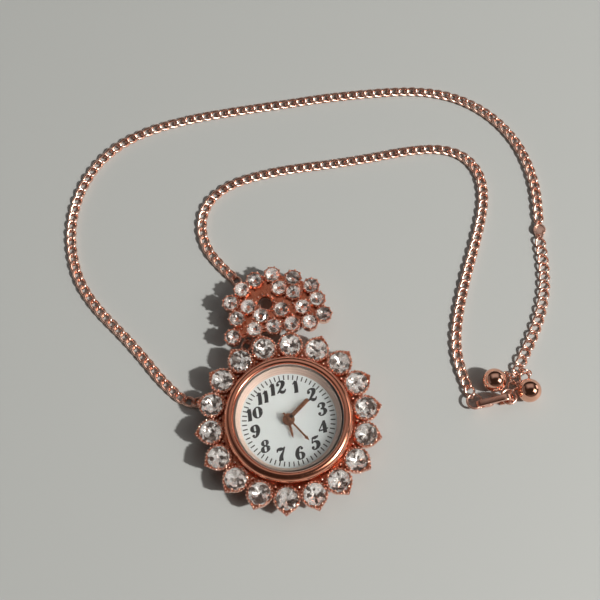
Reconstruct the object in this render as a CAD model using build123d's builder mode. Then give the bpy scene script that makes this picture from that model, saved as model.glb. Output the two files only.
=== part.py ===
"""A pendant watch: a round quartz watch in a collar of stones, under a crest of stones, on a curb chain.

Units are millimetres and degrees. The origin lies on the dial's axis, on the outer face of the case back.
+Z leaves the dial, +Y runs from the dial to the crest, and the chain lies on the plane Z = 0.
"""

from build123d import *
from math import acos, atan2, cos, degrees, dist, radians, sin, tan
import os

os.makedirs("parts", exist_ok=True)

# Case
case_radius = 12.4
case_wall = 1.5
back_radius = 12.0
back_thickness = 0.7
back_edge_chamfer = 0.3
lip_thickness = 0.4
lip_height = 0.5
movement_space = 2.8
dial_thickness = 0.4
dial_ledge = 0.6
rehaut_height = 2.0
rehaut_slope_width = 0.6
rehaut_rim = 0.5
crystal_thickness = 1.0
crystal_radius = 11.25
bezel_radius = 13.2
bezel_height = 3.0
bezel_dome_rise = 1.0
bezel_crown_width = 0.8
collar_flange_radius = 12.9
collar_flange_height = 2.7
collar_flange_thickness = 0.4
gasket_thickness = 0.2

# Clearances
fit = 0.05
hair = 0.02
overrun = 1.0

# Stone settings
dial_turn = 10
collar_stones = 18
collar_stone_circle = 16.1
collar_stone_radius = 2.35
collar_cup_wall = 0.25
petal_tip_radius = 19.4
setting_plate = 0.4
setting_cup_height = 1.3
stone_table_share = 0.55
stone_girdle_drop = 0.15
stone_crown_height = 0.65
stone_pavilion_gap = 0.05
stone_facets = 8
collar_bead_radius = 0.4
collar_bead_circle = 14.0
collar_bead_height = 1.1
cup_facets = 12
bead_facets = 6
bead_taper = 12
crest_width = 19.8
crest_height = 12.8
crest_base = 19.5
crest_centre = 0.95
crest_stone_radius = 1.55
crest_cup_wall = 0.25
crest_hole_radius = 1.5
crest_bar_width = 1.1
crest_bar_reach = 5.0

# Movement
movement_radius = 9.0
plate_thickness = 0.45
plate_above_back = 1.85
bridge_thickness = 0.3
bridge_above_back = 0.3
wheel_thickness = 0.15
pivot_radius = 0.12
battery_radius = 2.9
battery_height = 1.6
battery_distance = 5.83
battery_clock = 235
battery_gap = 0.15
coil_length = 6.0
coil_radius = 0.75
coil_distance = 7.2
core_width = 0.6
core_thickness = 0.4
core_overhang = 1.1
stator_thickness = 0.25
stator_depth = 3.4
rotor_radius = 0.6
rotor_gap = 0.15
rotor_height = 0.45
post_radius = 0.45
screw_radius = 0.22
screw_head_radius = 0.5
screw_head_height = 0.22
screw_length = 1.2
board_thickness = 0.2
board_inner = 6.0
board_span = 60
can_radius = 0.6
can_length = 4.0
holder_height = 1.9
stem_notch_height = 2.4
stem_block_length = 0.35
stem_block_width = 1.6
strip_width = 1.4
strip_thickness = 0.12
board_clock = 132
bridge_posts = [(5.0, 60), (5.4, 185), (5.2, 300)]

# Gear train: modules and tooth counts
rotor_module = 0.13
rotor_teeth = 6
intermediate_teeth = 36
intermediate_module = 0.15
pinion_teeth = 6
second_teeth = 30
third_module = 0.12
third_teeth = 45
centre_module = 0.1133
centre_teeth = 48
motion_module = 0.16
cannon_teeth = 8
minute_teeth = 24
hour_teeth = 24
addendum_share = 0.7
dedendum_share = 1.0
rotor_clock = 20
intermediate_clock = 340
third_clock = 130
minute_wheel_clock = 60
second_wheel_gap = 0.12
intermediate_wheel_gap = 0.08
third_wheel_gap = 0.13
centre_wheel_gap = 0.2
arbor_radius = 0.14
centre_tube_radius = 0.32
cannon_tube_radius = 0.52
hour_tube_radius = 0.75

# Crown and stem
stem_height = 1.65
stem_radius = 0.28
stem_inner_end = 5.9
stem_waist_radius = 0.16
stem_waist_start = 7.0
stem_waist_length = 0.45
crown_radius = 1.0
crown_length = 1.9
crown_flutes = 12
crown_flute_depth = 0.12
crown_recess = 0.8
tube_radius = 0.6
tube_wall = 0.25
tube_reach = 0.65
crown_gasket_length = 0.3
sliding_pinion_teeth = 10
sliding_pinion_module = 0.11
sliding_pinion_length = 0.7
lever_arm = 2.0
lever_width = 0.7
lever_thickness = 0.25
lever_pin_radius = 0.12
lever_swing = 11.5

# Hands
hour_hand_length = 4.0
hour_hand_width = 0.55
hour_boss_radius = 1.25
minute_hand_length = 5.8
minute_hand_width = 0.75
minute_boss_radius = 1.15
second_hand_length = 6.2
second_hand_tail = 1.6
second_hand_width = 0.3
second_arrow_length = 1.2
second_arrow_width = 0.8
second_boss_radius = 0.5
hand_thickness = 0.15
hour_hand_gap = 0.5
hand_spacing = 0.4
blunt_tip_share = 0.93
shown_hour = 6
shown_minute = 10.4
shown_second = 26

# Chain
link_half_length = 1.275
link_half_width = 0.75
link_end_half_width = 0.42
link_wire = 0.5
link_sides = 3
link_pitch = 2.05
link_twist = 45
link_corner_angle = 35
big_link_half_length = 1.3
big_link_half_width = 1.05
big_link_end_half_width = 0.55
big_link_pitch = 2.12
big_link_sides = 4
chain_height = 0.55
bail_width = 4.4
bail_length = 3.0
bail_strip = 0.45
bail_station = 25.0
bail_centre = -4.1
bail_chain_rise = 0.75
bail_approach = 9.0
chain_rises = [
    (bail_centre, bail_station, bail_chain_rise, bail_approach),
    (49.1, 2.6, 0.4, 6.0),
]
corner_share = 0.45
bar_share = 0.6

# Ends of the chain
tag_radius = 1.4
tag_thickness = 0.9
tag_link_half_length = 2.3
ring_wire = 0.5
ring_bars = 8
clasp_ring_radius = 1.6
end_ring_radius = 1.6
join_half_length = 1.5
join_half_width = 0.95
join_end_half_width = 0.65
join_twist = 67.5
join_roll = 22.5
ball_ring_radius = 1.1
ball_wire = 0.4
ball_radius = 2.5
ball_eye_radius = 0.5
ball_eye_wire = 0.3
ball_post_radius = 0.22
ball_places = [(50.7, -1.2), (44.0, 2.1)]
ball_links = [(2, 1), (1, -1)]
clasp_length = 7.8
clasp_thickness = 1.4
clasp_bow_radius = 2.2
clasp_bow_opening = 1.3
clasp_eye_radius = 1.2
clasp_eye_hole = 0.6
clasp_eye_step = 0.35
clasp_slot = 0.6
clasp_pin_radius = 0.35
clasp_lever_thickness = 0.35
clasp_lever_depth = 0.7
clasp_gate_depth = 1.0
clasp_spring_wall = 0.2
clasp_lift = 0.1
clasp_start = 39.3
clasp_face = -1.5
clasp_pivot_share = 0.34
clasp_gate_share = 0.68
clasp_ring_bearing = 150
end_ring_bearing = 20

# Levels, from the case back up
back_top = back_thickness
bridge_bottom = back_top + bridge_above_back
plate_bottom = back_top + plate_above_back
plate_top = plate_bottom + plate_thickness
dial_bottom = back_top + movement_space
dial_top = dial_bottom + dial_thickness
case_top = dial_top + rehaut_height
crystal_bottom = case_top + gasket_thickness
bezel_bottom = crystal_bottom + crystal_thickness - bezel_height
flange_top = collar_flange_height + collar_flange_thickness
cup_floor = flange_top + setting_plate
cup_top = cup_floor + setting_cup_height
cavity_radius = case_radius - case_wall
dial_radius = cavity_radius + dial_ledge - fit


def clock_point(distance, clock):
    """The X and Y of a point at a distance from the dial's axis, towards a direction on the dial in degrees."""
    angle = radians(90 + dial_turn - clock)
    return distance * cos(angle), distance * sin(angle)


def disc(outer, inner, bottom, top, centre=(0, 0)):
    """A flat round piece with a round hole, or none where inner is zero."""
    with BuildPart() as piece:
        with BuildSketch(Plane.XY.offset(bottom)):
            with Locations(centre):
                Circle(outer)
                if inner > 0:
                    Circle(inner, mode=Mode.SUBTRACT)
        extrude(amount=top - bottom)
    return piece.part


def gear_outline(module, teeth, phase=0):
    """The corners of a fine watch gear, whose teeth are plain points at this scale."""
    pitch = module * teeth / 2
    tip, root = pitch + addendum_share * module, pitch - dedendum_share * module
    corners = []
    for half_tooth in range(2 * teeth):
        radius = tip if half_tooth % 2 == 0 else root
        angle = radians(phase + 180 / teeth * half_tooth)
        corners.append((radius * cos(angle), radius * sin(angle)))
    return corners


def gear(module, teeth, bottom, thickness, centre=(0, 0), phase=0, bore=0):
    """A toothed wheel or pinion, cut from sheet or rod."""
    with BuildPart() as piece:
        with BuildSketch(Plane.XY.offset(bottom)):
            with Locations(centre):
                Polygon(*gear_outline(module, teeth, phase), align=None)
                if bore > 0:
                    Circle(bore, mode=Mode.SUBTRACT)
        extrude(amount=thickness)
    return piece.part


def mesh_phase(teeth, driver_teeth, driver_phase, bearing):
    """The turn that puts a gap of this gear opposite a tooth of its driver, along the bearing between them."""
    driver_pitch = 360 / driver_teeth
    offset = (bearing - driver_phase) % driver_pitch / driver_pitch
    pitch = 360 / teeth
    return bearing + 180 + pitch / 2 + offset * pitch


def gem(radius, bottom, girdle, table, centre, facets=stone_facets):
    """A cut stone: a table, a crown and a pavilion that runs to a point."""
    with BuildPart() as stone:
        with BuildSketch(Plane.XY.offset(girdle)):
            with Locations(centre):
                RegularPolygon(radius=radius, side_count=facets)
        with BuildSketch(Plane.XY.offset(table)):
            with Locations(centre):
                RegularPolygon(radius=radius * stone_table_share, side_count=facets)
        loft(ruled=True)
        with BuildSketch(Plane.XY.offset(girdle)):
            with Locations(centre):
                RegularPolygon(radius=radius, side_count=facets)
        with BuildSketch(Plane.XY.offset(bottom)):
            with Locations(centre):
                RegularPolygon(radius=radius * stone_pavilion_gap, side_count=facets)
        loft(ruled=True)
    return stone.part


def wire_loop(corners, wire, sides, twist=0, reach=1):
    """A closed loop of straight wire bars through corners of X, Y and the outward angle, twisted about X."""
    rings = []
    for x, y, outward in corners:
        ring = []
        for side in range(sides):
            turn = radians(360 / sides * (side + 0.5 * (sides == 4)))
            out = bar_share * wire * cos(turn)
            rise = bar_share * wire * sin(turn)
            spot = Vector(x + out * cos(radians(outward)), y + out * sin(radians(outward)), rise)
            ring.append(spot.rotate(Axis.X, twist * x / reach))
        rings.append(ring)
    faces = []
    for first, second in zip(rings, rings[1:] + rings[:1]):
        for side in range(sides):
            after = (side + 1) % sides
            faces.append(Face(Wire.make_polygon([first[side], first[after], second[after]])))
            faces.append(Face(Wire.make_polygon([first[side], second[after], second[side]])))
    return Solid(Shell(faces))


def curb_link(half_length, half_width, end_half_width, wire, sides, twist=link_twist):
    """One twisted link of a curb chain, whose two ends lean opposite ways so that the next link seats in them."""
    half = [
        (half_length, -end_half_width, -link_corner_angle),
        (half_length, end_half_width, link_corner_angle),
        (0, half_width, 90),
    ]
    corners = half + [(-x, -y, outward + 180) for x, y, outward in half]
    return wire_loop(corners, wire, sides, twist, half_length)


def round_ring(radius, wire, bars=ring_bars, sides=3):
    """A round jump ring of wire, flat on XY about the origin."""
    step = 360 / bars
    corners = [
        (radius * cos(radians(step * bar)), radius * sin(radians(step * bar)), step * bar) for bar in range(bars)
    ]
    return wire_loop(corners, wire, sides)


# The case back, a disc with a raised lip that snaps into the case
with BuildPart() as case_back:
    with BuildSketch():
        Circle(back_radius)
    extrude(amount=back_thickness)
    chamfer(case_back.edges().group_by(Axis.Z)[0], back_edge_chamfer)
    with BuildSketch(Plane.XY.offset(back_top)):
        Circle(cavity_radius - lip_thickness + fit * 2)
        Circle(cavity_radius - lip_thickness * 2, mode=Mode.SUBTRACT)
    extrude(amount=lip_height)
case_back.part.label = "case_back"
export_step(case_back.part, "parts/case_back.step")

# The case back's gasket, round the lip
case_back_gasket = disc(
    cavity_radius - fit, cavity_radius - gasket_thickness - fit, back_top, back_top + lip_height / 2
)
case_back_gasket.label = "case_back_gasket"
export_step(case_back_gasket, "parts/case_back_gasket.step")

# The case's middle, with a ledge for the dial, a flange for the collar and a bore for the crown's tube
crown_axis = Plane(origin=(0, 0, stem_height), x_dir=(0, 0, 1), z_dir=(*clock_point(1, 90), 0))
with BuildPart() as case_body:
    with BuildSketch(Plane.XZ):
        with BuildLine():
            Polyline(
                (cavity_radius, back_top),
                (case_radius, back_top),
                (case_radius, collar_flange_height),
                (collar_flange_radius, collar_flange_height),
                (collar_flange_radius, flange_top),
                (case_radius, flange_top),
                (case_radius, case_top),
                (cavity_radius + dial_ledge, case_top),
                (cavity_radius + dial_ledge, dial_bottom),
                (cavity_radius, dial_bottom),
                close=True,
            )
        make_face()
    revolve(axis=Axis.Z)
    with BuildSketch(crown_axis.offset(cavity_radius - overrun)):
        Circle(tube_radius + hair)
    extrude(amount=case_wall + overrun * 2, mode=Mode.SUBTRACT)
case_body.part.label = "case_body"
export_step(case_body.part, "parts/case_body.step")

# The bezel, a domed ring that snaps over the case and holds the crystal
with BuildPart() as bezel:
    with BuildSketch(Plane.XZ):
        with BuildLine():
            Polyline(
                (bezel_radius, bezel_bottom + bezel_height - bezel_dome_rise),
                (bezel_radius, bezel_bottom),
                (case_radius + fit, bezel_bottom),
                (case_radius + fit, case_top + hair),
                (crystal_radius + fit, case_top + hair),
                (crystal_radius + fit, bezel_bottom + bezel_height - gasket_thickness),
                (bezel_radius - bezel_crown_width, bezel_bottom + bezel_height),
            )
            RadiusArc(
                (bezel_radius - bezel_crown_width, bezel_bottom + bezel_height),
                (bezel_radius, bezel_bottom + bezel_height - bezel_dome_rise),
                bezel_dome_rise,
            )
        make_face()
    revolve(axis=Axis.Z)
bezel.part.label = "bezel"
export_step(bezel.part, "parts/bezel.step")

# The crystal, a flat disc of glass with a ground edge
with BuildPart() as crystal:
    with BuildSketch(Plane.XY.offset(crystal_bottom)):
        Circle(crystal_radius)
    extrude(amount=crystal_thickness)
    chamfer(crystal.edges().group_by(Axis.Z)[-1], gasket_thickness)
crystal.part.label = "crystal"
export_step(crystal.part, "parts/crystal.step")

# The gasket that the crystal seats on
crystal_gasket = disc(crystal_radius, crystal_radius - rehaut_rim + fit, case_top, crystal_bottom)
crystal_gasket.label = "crystal_gasket"
export_step(crystal_gasket, "parts/crystal_gasket.step")

# The sloping ring between the dial and the crystal
rehaut_outer = dial_radius
with BuildPart() as rehaut_ring:
    with BuildSketch(Plane.XZ):
        with BuildLine():
            Polyline(
                (rehaut_outer - rehaut_rim - rehaut_slope_width, dial_top),
                (rehaut_outer, dial_top),
                (rehaut_outer, case_top),
                (rehaut_outer - rehaut_rim, case_top),
                close=True,
            )
        make_face()
    revolve(axis=Axis.Z)
rehaut_ring.part.label = "rehaut_ring"
export_step(rehaut_ring.part, "parts/rehaut_ring.step")

# Centre tubes: the second wheel's arbor runs in the centre wheel, that in the cannon pinion, that in the hour wheel
hour_hand_bottom = dial_top + hour_hand_gap
minute_hand_bottom = hour_hand_bottom + hand_spacing
second_hand_bottom = minute_hand_bottom + hand_spacing

# The dial, a thin disc with a hole for the hands
dial = disc(dial_radius, hour_tube_radius + fit * 2, dial_bottom, dial_top)
dial.label = "dial"
export_step(dial, "parts/dial.step")

# Places in the gear train
rotor_reach = rotor_module * (rotor_teeth + intermediate_teeth) / 2
intermediate_distance = intermediate_module * (pinion_teeth + second_teeth) / 2
third_distance = third_module * (pinion_teeth + third_teeth) / 2
minute_wheel_distance = motion_module * (cannon_teeth + minute_teeth) / 2
intermediate_place = clock_point(intermediate_distance, intermediate_clock)
third_place = clock_point(third_distance, third_clock)
minute_wheel_place = clock_point(minute_wheel_distance, minute_wheel_clock)
rotor_step = clock_point(rotor_reach, rotor_clock)
rotor_place = (intermediate_place[0] + rotor_step[0], intermediate_place[1] + rotor_step[1])
hour_pinion_module = 2 * minute_wheel_distance / (pinion_teeth + hour_teeth)


def bearing_of(clock):
    """The angle from +X of a direction on the dial."""
    return 90 + dial_turn - clock


# Levels in the gear train
second_wheel_bottom = bridge_bottom + bridge_thickness + second_wheel_gap
third_wheel_bottom = second_wheel_bottom + wheel_thickness + third_wheel_gap
intermediate_wheel_bottom = second_wheel_bottom + wheel_thickness + intermediate_wheel_gap
centre_wheel_bottom = third_wheel_bottom + wheel_thickness + centre_wheel_gap
cannon_bottom = plate_top + fit
hour_wheel_bottom = cannon_bottom + wheel_thickness + fit
battery_place = clock_point(battery_distance, battery_clock)
waist_place = clock_point(stem_waist_start + stem_waist_length / 2, 90)
lever_side = clock_point(lever_arm * cos(radians(lever_swing)), 180)
lever_lag = clock_point(lever_arm * sin(radians(lever_swing)), 90)
lever_pivot = (waist_place[0] - lever_side[0] + lever_lag[0], waist_place[1] - lever_side[1] + lever_lag[1])
post_places = [clock_point(*post) for post in bridge_posts]

# The main plate, with the battery's opening, the pivot holes, the posts for the bridge and the stem's block
stem_block_outer = movement_radius - fit * 2
with BuildPart() as main_plate:
    with BuildSketch(Plane.XY.offset(plate_bottom)):
        Circle(movement_radius)
        with Locations(battery_place):
            Circle(battery_radius + battery_gap, mode=Mode.SUBTRACT)
        with Locations((0, 0)):
            Circle(cannon_tube_radius + fit, mode=Mode.SUBTRACT)
        with Locations(third_place, intermediate_place, minute_wheel_place, rotor_place, lever_pivot):
            Circle(pivot_radius + hair, mode=Mode.SUBTRACT)
    extrude(amount=plate_thickness)
    with BuildSketch(Plane.XY.offset(bridge_bottom + bridge_thickness)):
        with Locations(*post_places):
            Circle(post_radius)
            Circle(screw_radius + hair, mode=Mode.SUBTRACT)
    extrude(amount=plate_above_back - bridge_above_back - bridge_thickness + fit)
    with BuildSketch(crown_axis.offset(stem_block_outer - stem_block_length)):
        with Locations(((plate_bottom - stem_height) / 2 - stem_radius, 0)):
            Rectangle(plate_bottom - stem_height + stem_radius * 2 + fit, stem_block_width)
        Circle(stem_radius + fit, mode=Mode.SUBTRACT)
    extrude(amount=stem_block_length)
main_plate.part.label = "main_plate"
export_step(main_plate.part, "parts/main_plate.step")

# The train bridge, a thin plate over the wheels' lower pivots
with BuildPart() as train_bridge:
    with BuildSketch(Plane.XY.offset(bridge_bottom)):
        with Locations(*post_places, rotor_place):
            Circle(post_radius * 2)
        make_hull()
        with Locations(battery_place):
            Circle(battery_radius + battery_gap, mode=Mode.SUBTRACT)
        with Locations(*post_places):
            Circle(screw_radius + hair, mode=Mode.SUBTRACT)
        with Locations((0, 0), third_place, intermediate_place, rotor_place):
            Circle(pivot_radius + hair * 2, mode=Mode.SUBTRACT)
    extrude(amount=bridge_thickness)
train_bridge.part.label = "train_bridge"
export_step(train_bridge.part, "parts/train_bridge.step")

# Three screws hold the bridge to the main plate's posts
with BuildPart() as movement_screws:
    with BuildSketch(Plane.XY.offset(bridge_bottom)):
        with Locations(*post_places):
            Circle(screw_head_radius)
    extrude(amount=-screw_head_height)
    with BuildSketch(Plane.XY.offset(bridge_bottom)):
        with Locations(*post_places):
            Circle(screw_radius)
    extrude(amount=screw_length)
movement_screws.part.label = "movement_screws"
export_step(movement_screws.part, "parts/movement_screws.step")

# The plastic ring that centres the movement in the case, cut away for the stem
with BuildPart() as movement_holder:
    with BuildSketch(Plane.XY.offset(dial_bottom - holder_height)):
        Circle(cavity_radius - fit * 2)
        Circle(movement_radius + fit, mode=Mode.SUBTRACT)
    extrude(amount=holder_height)
    with BuildSketch(crown_axis.offset(movement_radius - overrun)):
        Rectangle(stem_notch_height, tube_radius * 2 + fit * 2)
    extrude(amount=case_wall + overrun * 2, mode=Mode.SUBTRACT)
movement_holder.part.label = "movement_holder"
export_step(movement_holder.part, "parts/movement_holder.step")

# The button cell, stepped at its gasket
with BuildPart() as battery:
    with BuildSketch(Plane.XY.offset(plate_bottom - battery_height)):
        with Locations(battery_place):
            Circle(battery_radius)
    extrude(amount=battery_height - hair)
    chamfer(battery.edges().group_by(Axis.Z)[0], battery_gap / 2)
battery.part.label = "battery"
export_step(battery.part, "parts/battery.step")

# The sprung strip that presses on the cell
with BuildPart() as battery_clip:
    with BuildSketch(Plane.XY.offset(plate_bottom - battery_height - strip_thickness)):
        with Locations(battery_place):
            Rectangle(battery_radius * 2, strip_width, rotation=bearing_of(battery_clock))
    extrude(amount=strip_thickness)
battery_clip.part.label = "battery_clip"
export_step(battery_clip.part, "parts/battery_clip.step")

# The coil and the soft iron core through it, square to the twelve o'clock line
coil_height = plate_bottom - coil_radius - fit * 2
coil_place = clock_point(coil_distance, 0)
coil_plane = Plane(
    origin=(*coil_place, coil_height), x_dir=(0, 0, 1), z_dir=(*clock_point(1, 90), 0)
)
with BuildPart() as coil:
    with BuildSketch(coil_plane.offset(-coil_length / 2)):
        Circle(coil_radius)
        Rectangle(core_thickness + fit * 2, core_width + fit * 2, mode=Mode.SUBTRACT)
    extrude(amount=coil_length)
coil.part.label = "coil"
export_step(coil.part, "parts/coil.step")

core_length = coil_length + core_overhang * 2
with BuildPart() as coil_core:
    with BuildSketch(coil_plane.offset(-core_length / 2)):
        Rectangle(core_thickness, core_width)
    extrude(amount=core_length)
coil_core.part.label = "coil_core"
export_step(coil_core.part, "parts/coil_core.step")

# The stator, a flat plate on the core's ends with the rotor's hole in it
stator_bottom = coil_height + core_thickness / 2
stator_inner = coil_distance - coil_radius - fit * 2 - stator_depth / 2
with BuildPart() as stator:
    with BuildSketch(Plane(origin=(0, 0, stator_bottom), x_dir=(*clock_point(1, 90), 0), z_dir=(0, 0, 1))):
        with Locations((0, stator_inner)):
            Rectangle(core_length, stator_depth / 2 + core_width, align=(Align.CENTER, Align.MIN))
        with Locations((0, stator_inner + stator_depth / 2)):
            Rectangle(coil_length + fit * 4, stator_depth, align=(Align.CENTER, Align.MIN), mode=Mode.SUBTRACT)
    extrude(amount=stator_thickness)
    with BuildSketch(Plane.XY.offset(stator_bottom - overrun)):
        with Locations(rotor_place):
            Circle(rotor_radius + rotor_gap)
    extrude(amount=overrun * 2 + stator_thickness, mode=Mode.SUBTRACT)
stator.part.label = "stator"
export_step(stator.part, "parts/stator.step")


def wheel_and_pinion(place, wheel, pinion, arbor_top):
    """A wheel and a pinion on one arbor, each given as module, teeth, bottom, thickness and phase."""
    with BuildPart() as piece:
        with BuildSketch(Plane.XY.offset(bridge_bottom + fit)):
            with Locations(place):
                Circle(pivot_radius)
        extrude(amount=arbor_top - bridge_bottom - fit)
        for module, teeth, bottom, thickness, phase in (wheel, pinion):
            add(gear(module, teeth, bottom, thickness, place, phase))
    return piece.part


plate_pivot_top = plate_top - fit

# The rotor, a magnet and a pinion on one arbor
rotor_phase = bearing_of(rotor_clock)
with BuildPart() as rotor:
    add(disc(pivot_radius, 0, bridge_bottom + fit, plate_pivot_top, rotor_place))
    add(disc(rotor_radius, 0, stator_bottom - fit, stator_bottom - fit + rotor_height, rotor_place))
    add(gear(rotor_module, rotor_teeth, intermediate_wheel_bottom - fit, wheel_thickness + fit * 2, rotor_place, 0))
rotor.part.label = "rotor"
export_step(rotor.part, "parts/rotor.step")

# The intermediate wheel, which the rotor's pinion drives
intermediate_phase = mesh_phase(intermediate_teeth, rotor_teeth, 0, rotor_phase + 180)
intermediate_pinion_phase = 0
intermediate_wheel = wheel_and_pinion(
    intermediate_place,
    (rotor_module, intermediate_teeth, intermediate_wheel_bottom, wheel_thickness, intermediate_phase),
    (intermediate_module, pinion_teeth, second_wheel_bottom, wheel_thickness + fit, intermediate_pinion_phase),
    plate_pivot_top,
)
intermediate_wheel.label = "intermediate_wheel"
export_step(intermediate_wheel, "parts/intermediate_wheel.step")

# The second wheel, on the long arbor that carries the second hand
second_wheel_phase = mesh_phase(
    second_teeth, pinion_teeth, intermediate_pinion_phase, bearing_of(intermediate_clock) + 180
)
second_pinion_phase = 0
with BuildPart() as second_wheel:
    add(disc(pivot_radius, 0, bridge_bottom + fit, second_wheel_bottom, (0, 0)))
    add(disc(arbor_radius, 0, second_wheel_bottom, second_hand_bottom + hand_thickness, (0, 0)))
    add(gear(intermediate_module, second_teeth, second_wheel_bottom, wheel_thickness, (0, 0), second_wheel_phase))
    add(gear(third_module, pinion_teeth, third_wheel_bottom - fit, wheel_thickness + fit, (0, 0), second_pinion_phase))
second_wheel.part.label = "second_wheel"
export_step(second_wheel.part, "parts/second_wheel.step")

# The third wheel, between the second wheel's pinion and the centre wheel
third_phase = mesh_phase(third_teeth, pinion_teeth, second_pinion_phase, bearing_of(third_clock))
third_pinion_phase = 0
third_wheel = wheel_and_pinion(
    third_place,
    (third_module, third_teeth, third_wheel_bottom, wheel_thickness, third_phase),
    (centre_module, pinion_teeth, centre_wheel_bottom - fit, wheel_thickness + fit * 2, third_pinion_phase),
    plate_pivot_top,
)
third_wheel.label = "third_wheel"
export_step(third_wheel, "parts/third_wheel.step")

# The centre wheel, whose tube drives the cannon pinion by friction
centre_phase = mesh_phase(centre_teeth, pinion_teeth, third_pinion_phase, bearing_of(third_clock) + 180)
with BuildPart() as centre_wheel:
    add(gear(centre_module, centre_teeth, centre_wheel_bottom, wheel_thickness, (0, 0), centre_phase))
    add(disc(centre_tube_radius, 0, centre_wheel_bottom, minute_hand_bottom, (0, 0)))
    with BuildSketch(Plane.XY.offset(centre_wheel_bottom - overrun)):
        Circle(arbor_radius + hair)
    extrude(amount=second_hand_bottom, mode=Mode.SUBTRACT)
centre_wheel.part.label = "centre_wheel"
export_step(centre_wheel.part, "parts/centre_wheel.step")

# The cannon pinion, on the centre wheel's tube, which carries the minute hand
cannon_phase = 0
with BuildPart() as cannon_pinion:
    add(gear(motion_module, cannon_teeth, cannon_bottom, wheel_thickness, (0, 0), cannon_phase))
    add(disc(cannon_tube_radius, 0, cannon_bottom, minute_hand_bottom + hand_thickness, (0, 0)))
    with BuildSketch(Plane.XY.offset(cannon_bottom - overrun)):
        Circle(centre_tube_radius + hair)
    extrude(amount=second_hand_bottom, mode=Mode.SUBTRACT)
cannon_pinion.part.label = "cannon_pinion"
export_step(cannon_pinion.part, "parts/cannon_pinion.step")

# The minute wheel, between the cannon pinion and the hour wheel
minute_phase = mesh_phase(minute_teeth, cannon_teeth, cannon_phase, bearing_of(minute_wheel_clock))
minute_pinion_phase = 0
with BuildPart() as minute_wheel:
    add(disc(pivot_radius, 0, plate_bottom + fit, dial_bottom - hair, minute_wheel_place))
    add(gear(motion_module, minute_teeth, cannon_bottom, wheel_thickness, minute_wheel_place, minute_phase))
    add(
        gear(
            hour_pinion_module,
            pinion_teeth,
            hour_wheel_bottom,
            wheel_thickness,
            minute_wheel_place,
            minute_pinion_phase,
        )
    )
minute_wheel.part.label = "minute_wheel"
export_step(minute_wheel.part, "parts/minute_wheel.step")

# The hour wheel, whose tube carries the hour hand
hour_phase = mesh_phase(hour_teeth, pinion_teeth, minute_pinion_phase, bearing_of(minute_wheel_clock) + 180)
with BuildPart() as hour_wheel:
    add(gear(hour_pinion_module, hour_teeth, hour_wheel_bottom, wheel_thickness, (0, 0), hour_phase))
    add(disc(hour_tube_radius, 0, hour_wheel_bottom, hour_hand_bottom + hand_thickness, (0, 0)))
    with BuildSketch(Plane.XY.offset(hour_wheel_bottom - overrun)):
        Circle(cannon_tube_radius + fit)
    extrude(amount=second_hand_bottom, mode=Mode.SUBTRACT)
hour_wheel.part.label = "hour_wheel"
export_step(hour_wheel.part, "parts/hour_wheel.step")


def hand(length, width, boss, bore, bottom, clock, tip_share):
    """A baton hand with a round boss, pointing the way that the dial shows the time."""
    blade = Plane(origin=(0, 0, bottom), x_dir=(*clock_point(1, clock), 0), z_dir=(0, 0, 1))
    with BuildPart() as piece:
        with BuildSketch(blade):
            Polygon(
                (0, -width / 2),
                (length * tip_share, -width / 2),
                (length, 0),
                (length * tip_share, width / 2),
                (0, width / 2),
                align=None,
            )
            Circle(boss)
            Circle(bore, mode=Mode.SUBTRACT)
        extrude(amount=hand_thickness)
    return piece.part


minute_angle = 360 / 60 * shown_minute
hour_angle = 360 / 12 * (shown_hour + shown_minute / 60)
second_angle = 360 / 60 * shown_second
hour_hand = hand(
    hour_hand_length, hour_hand_width, hour_boss_radius, hour_tube_radius, hour_hand_bottom, hour_angle, blunt_tip_share
)
hour_hand.label = "hour_hand"
export_step(hour_hand, "parts/hour_hand.step")
minute_hand = hand(
    minute_hand_length,
    minute_hand_width,
    minute_boss_radius,
    cannon_tube_radius,
    minute_hand_bottom,
    minute_angle,
    blunt_tip_share,
)
minute_hand.label = "minute_hand"
export_step(minute_hand, "parts/minute_hand.step")

# The second hand, a thin needle with an arrow at its tip and a tail behind its boss
with BuildPart() as second_hand:
    blade = Plane(origin=(0, 0, second_hand_bottom), x_dir=(*clock_point(1, second_angle), 0), z_dir=(0, 0, 1))
    with BuildSketch(blade):
        Polygon(
            (-second_hand_tail, -second_hand_width / 2),
            (second_hand_length - second_arrow_length, -second_hand_width / 2),
            (second_hand_length - second_arrow_length, -second_arrow_width / 2),
            (second_hand_length, 0),
            (second_hand_length - second_arrow_length, second_arrow_width / 2),
            (second_hand_length - second_arrow_length, second_hand_width / 2),
            (-second_hand_tail, second_hand_width / 2),
            align=None,
        )
        Circle(second_boss_radius)
        Circle(arbor_radius, mode=Mode.SUBTRACT)
    extrude(amount=hand_thickness)
second_hand.part.label = "second_hand"
export_step(second_hand.part, "parts/second_hand.step")

# The circuit board, a flat sector by the case back, and the quartz crystal's can on it
with BuildPart() as circuit_board:
    with BuildSketch(Plane.XY.offset(bridge_bottom)):
        Circle(movement_radius - fit * 4)
        Circle(board_inner, mode=Mode.SUBTRACT)
        wedge = [clock_point(movement_radius * 2, board_clock + side * board_span / 2) for side in (-1, 1)]
        Polygon((0, 0), *wedge, align=None, mode=Mode.INTERSECT)
    extrude(amount=board_thickness)
circuit_board.part.label = "circuit_board"
export_step(circuit_board.part, "parts/circuit_board.step")

can_place = clock_point((board_inner + movement_radius) / 2, board_clock)
can_height = bridge_bottom + board_thickness + can_radius + hair
can_direction = clock_point(1, board_clock + 90)
with BuildPart() as quartz_can:
    with BuildSketch(Plane(origin=(*can_place, can_height), z_dir=(*can_direction, 0)).offset(-can_length / 2)):
        Circle(can_radius)
    extrude(amount=can_length)
quartz_can.part.label = "quartz_can"
export_step(quartz_can.part, "parts/quartz_can.step")

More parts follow.
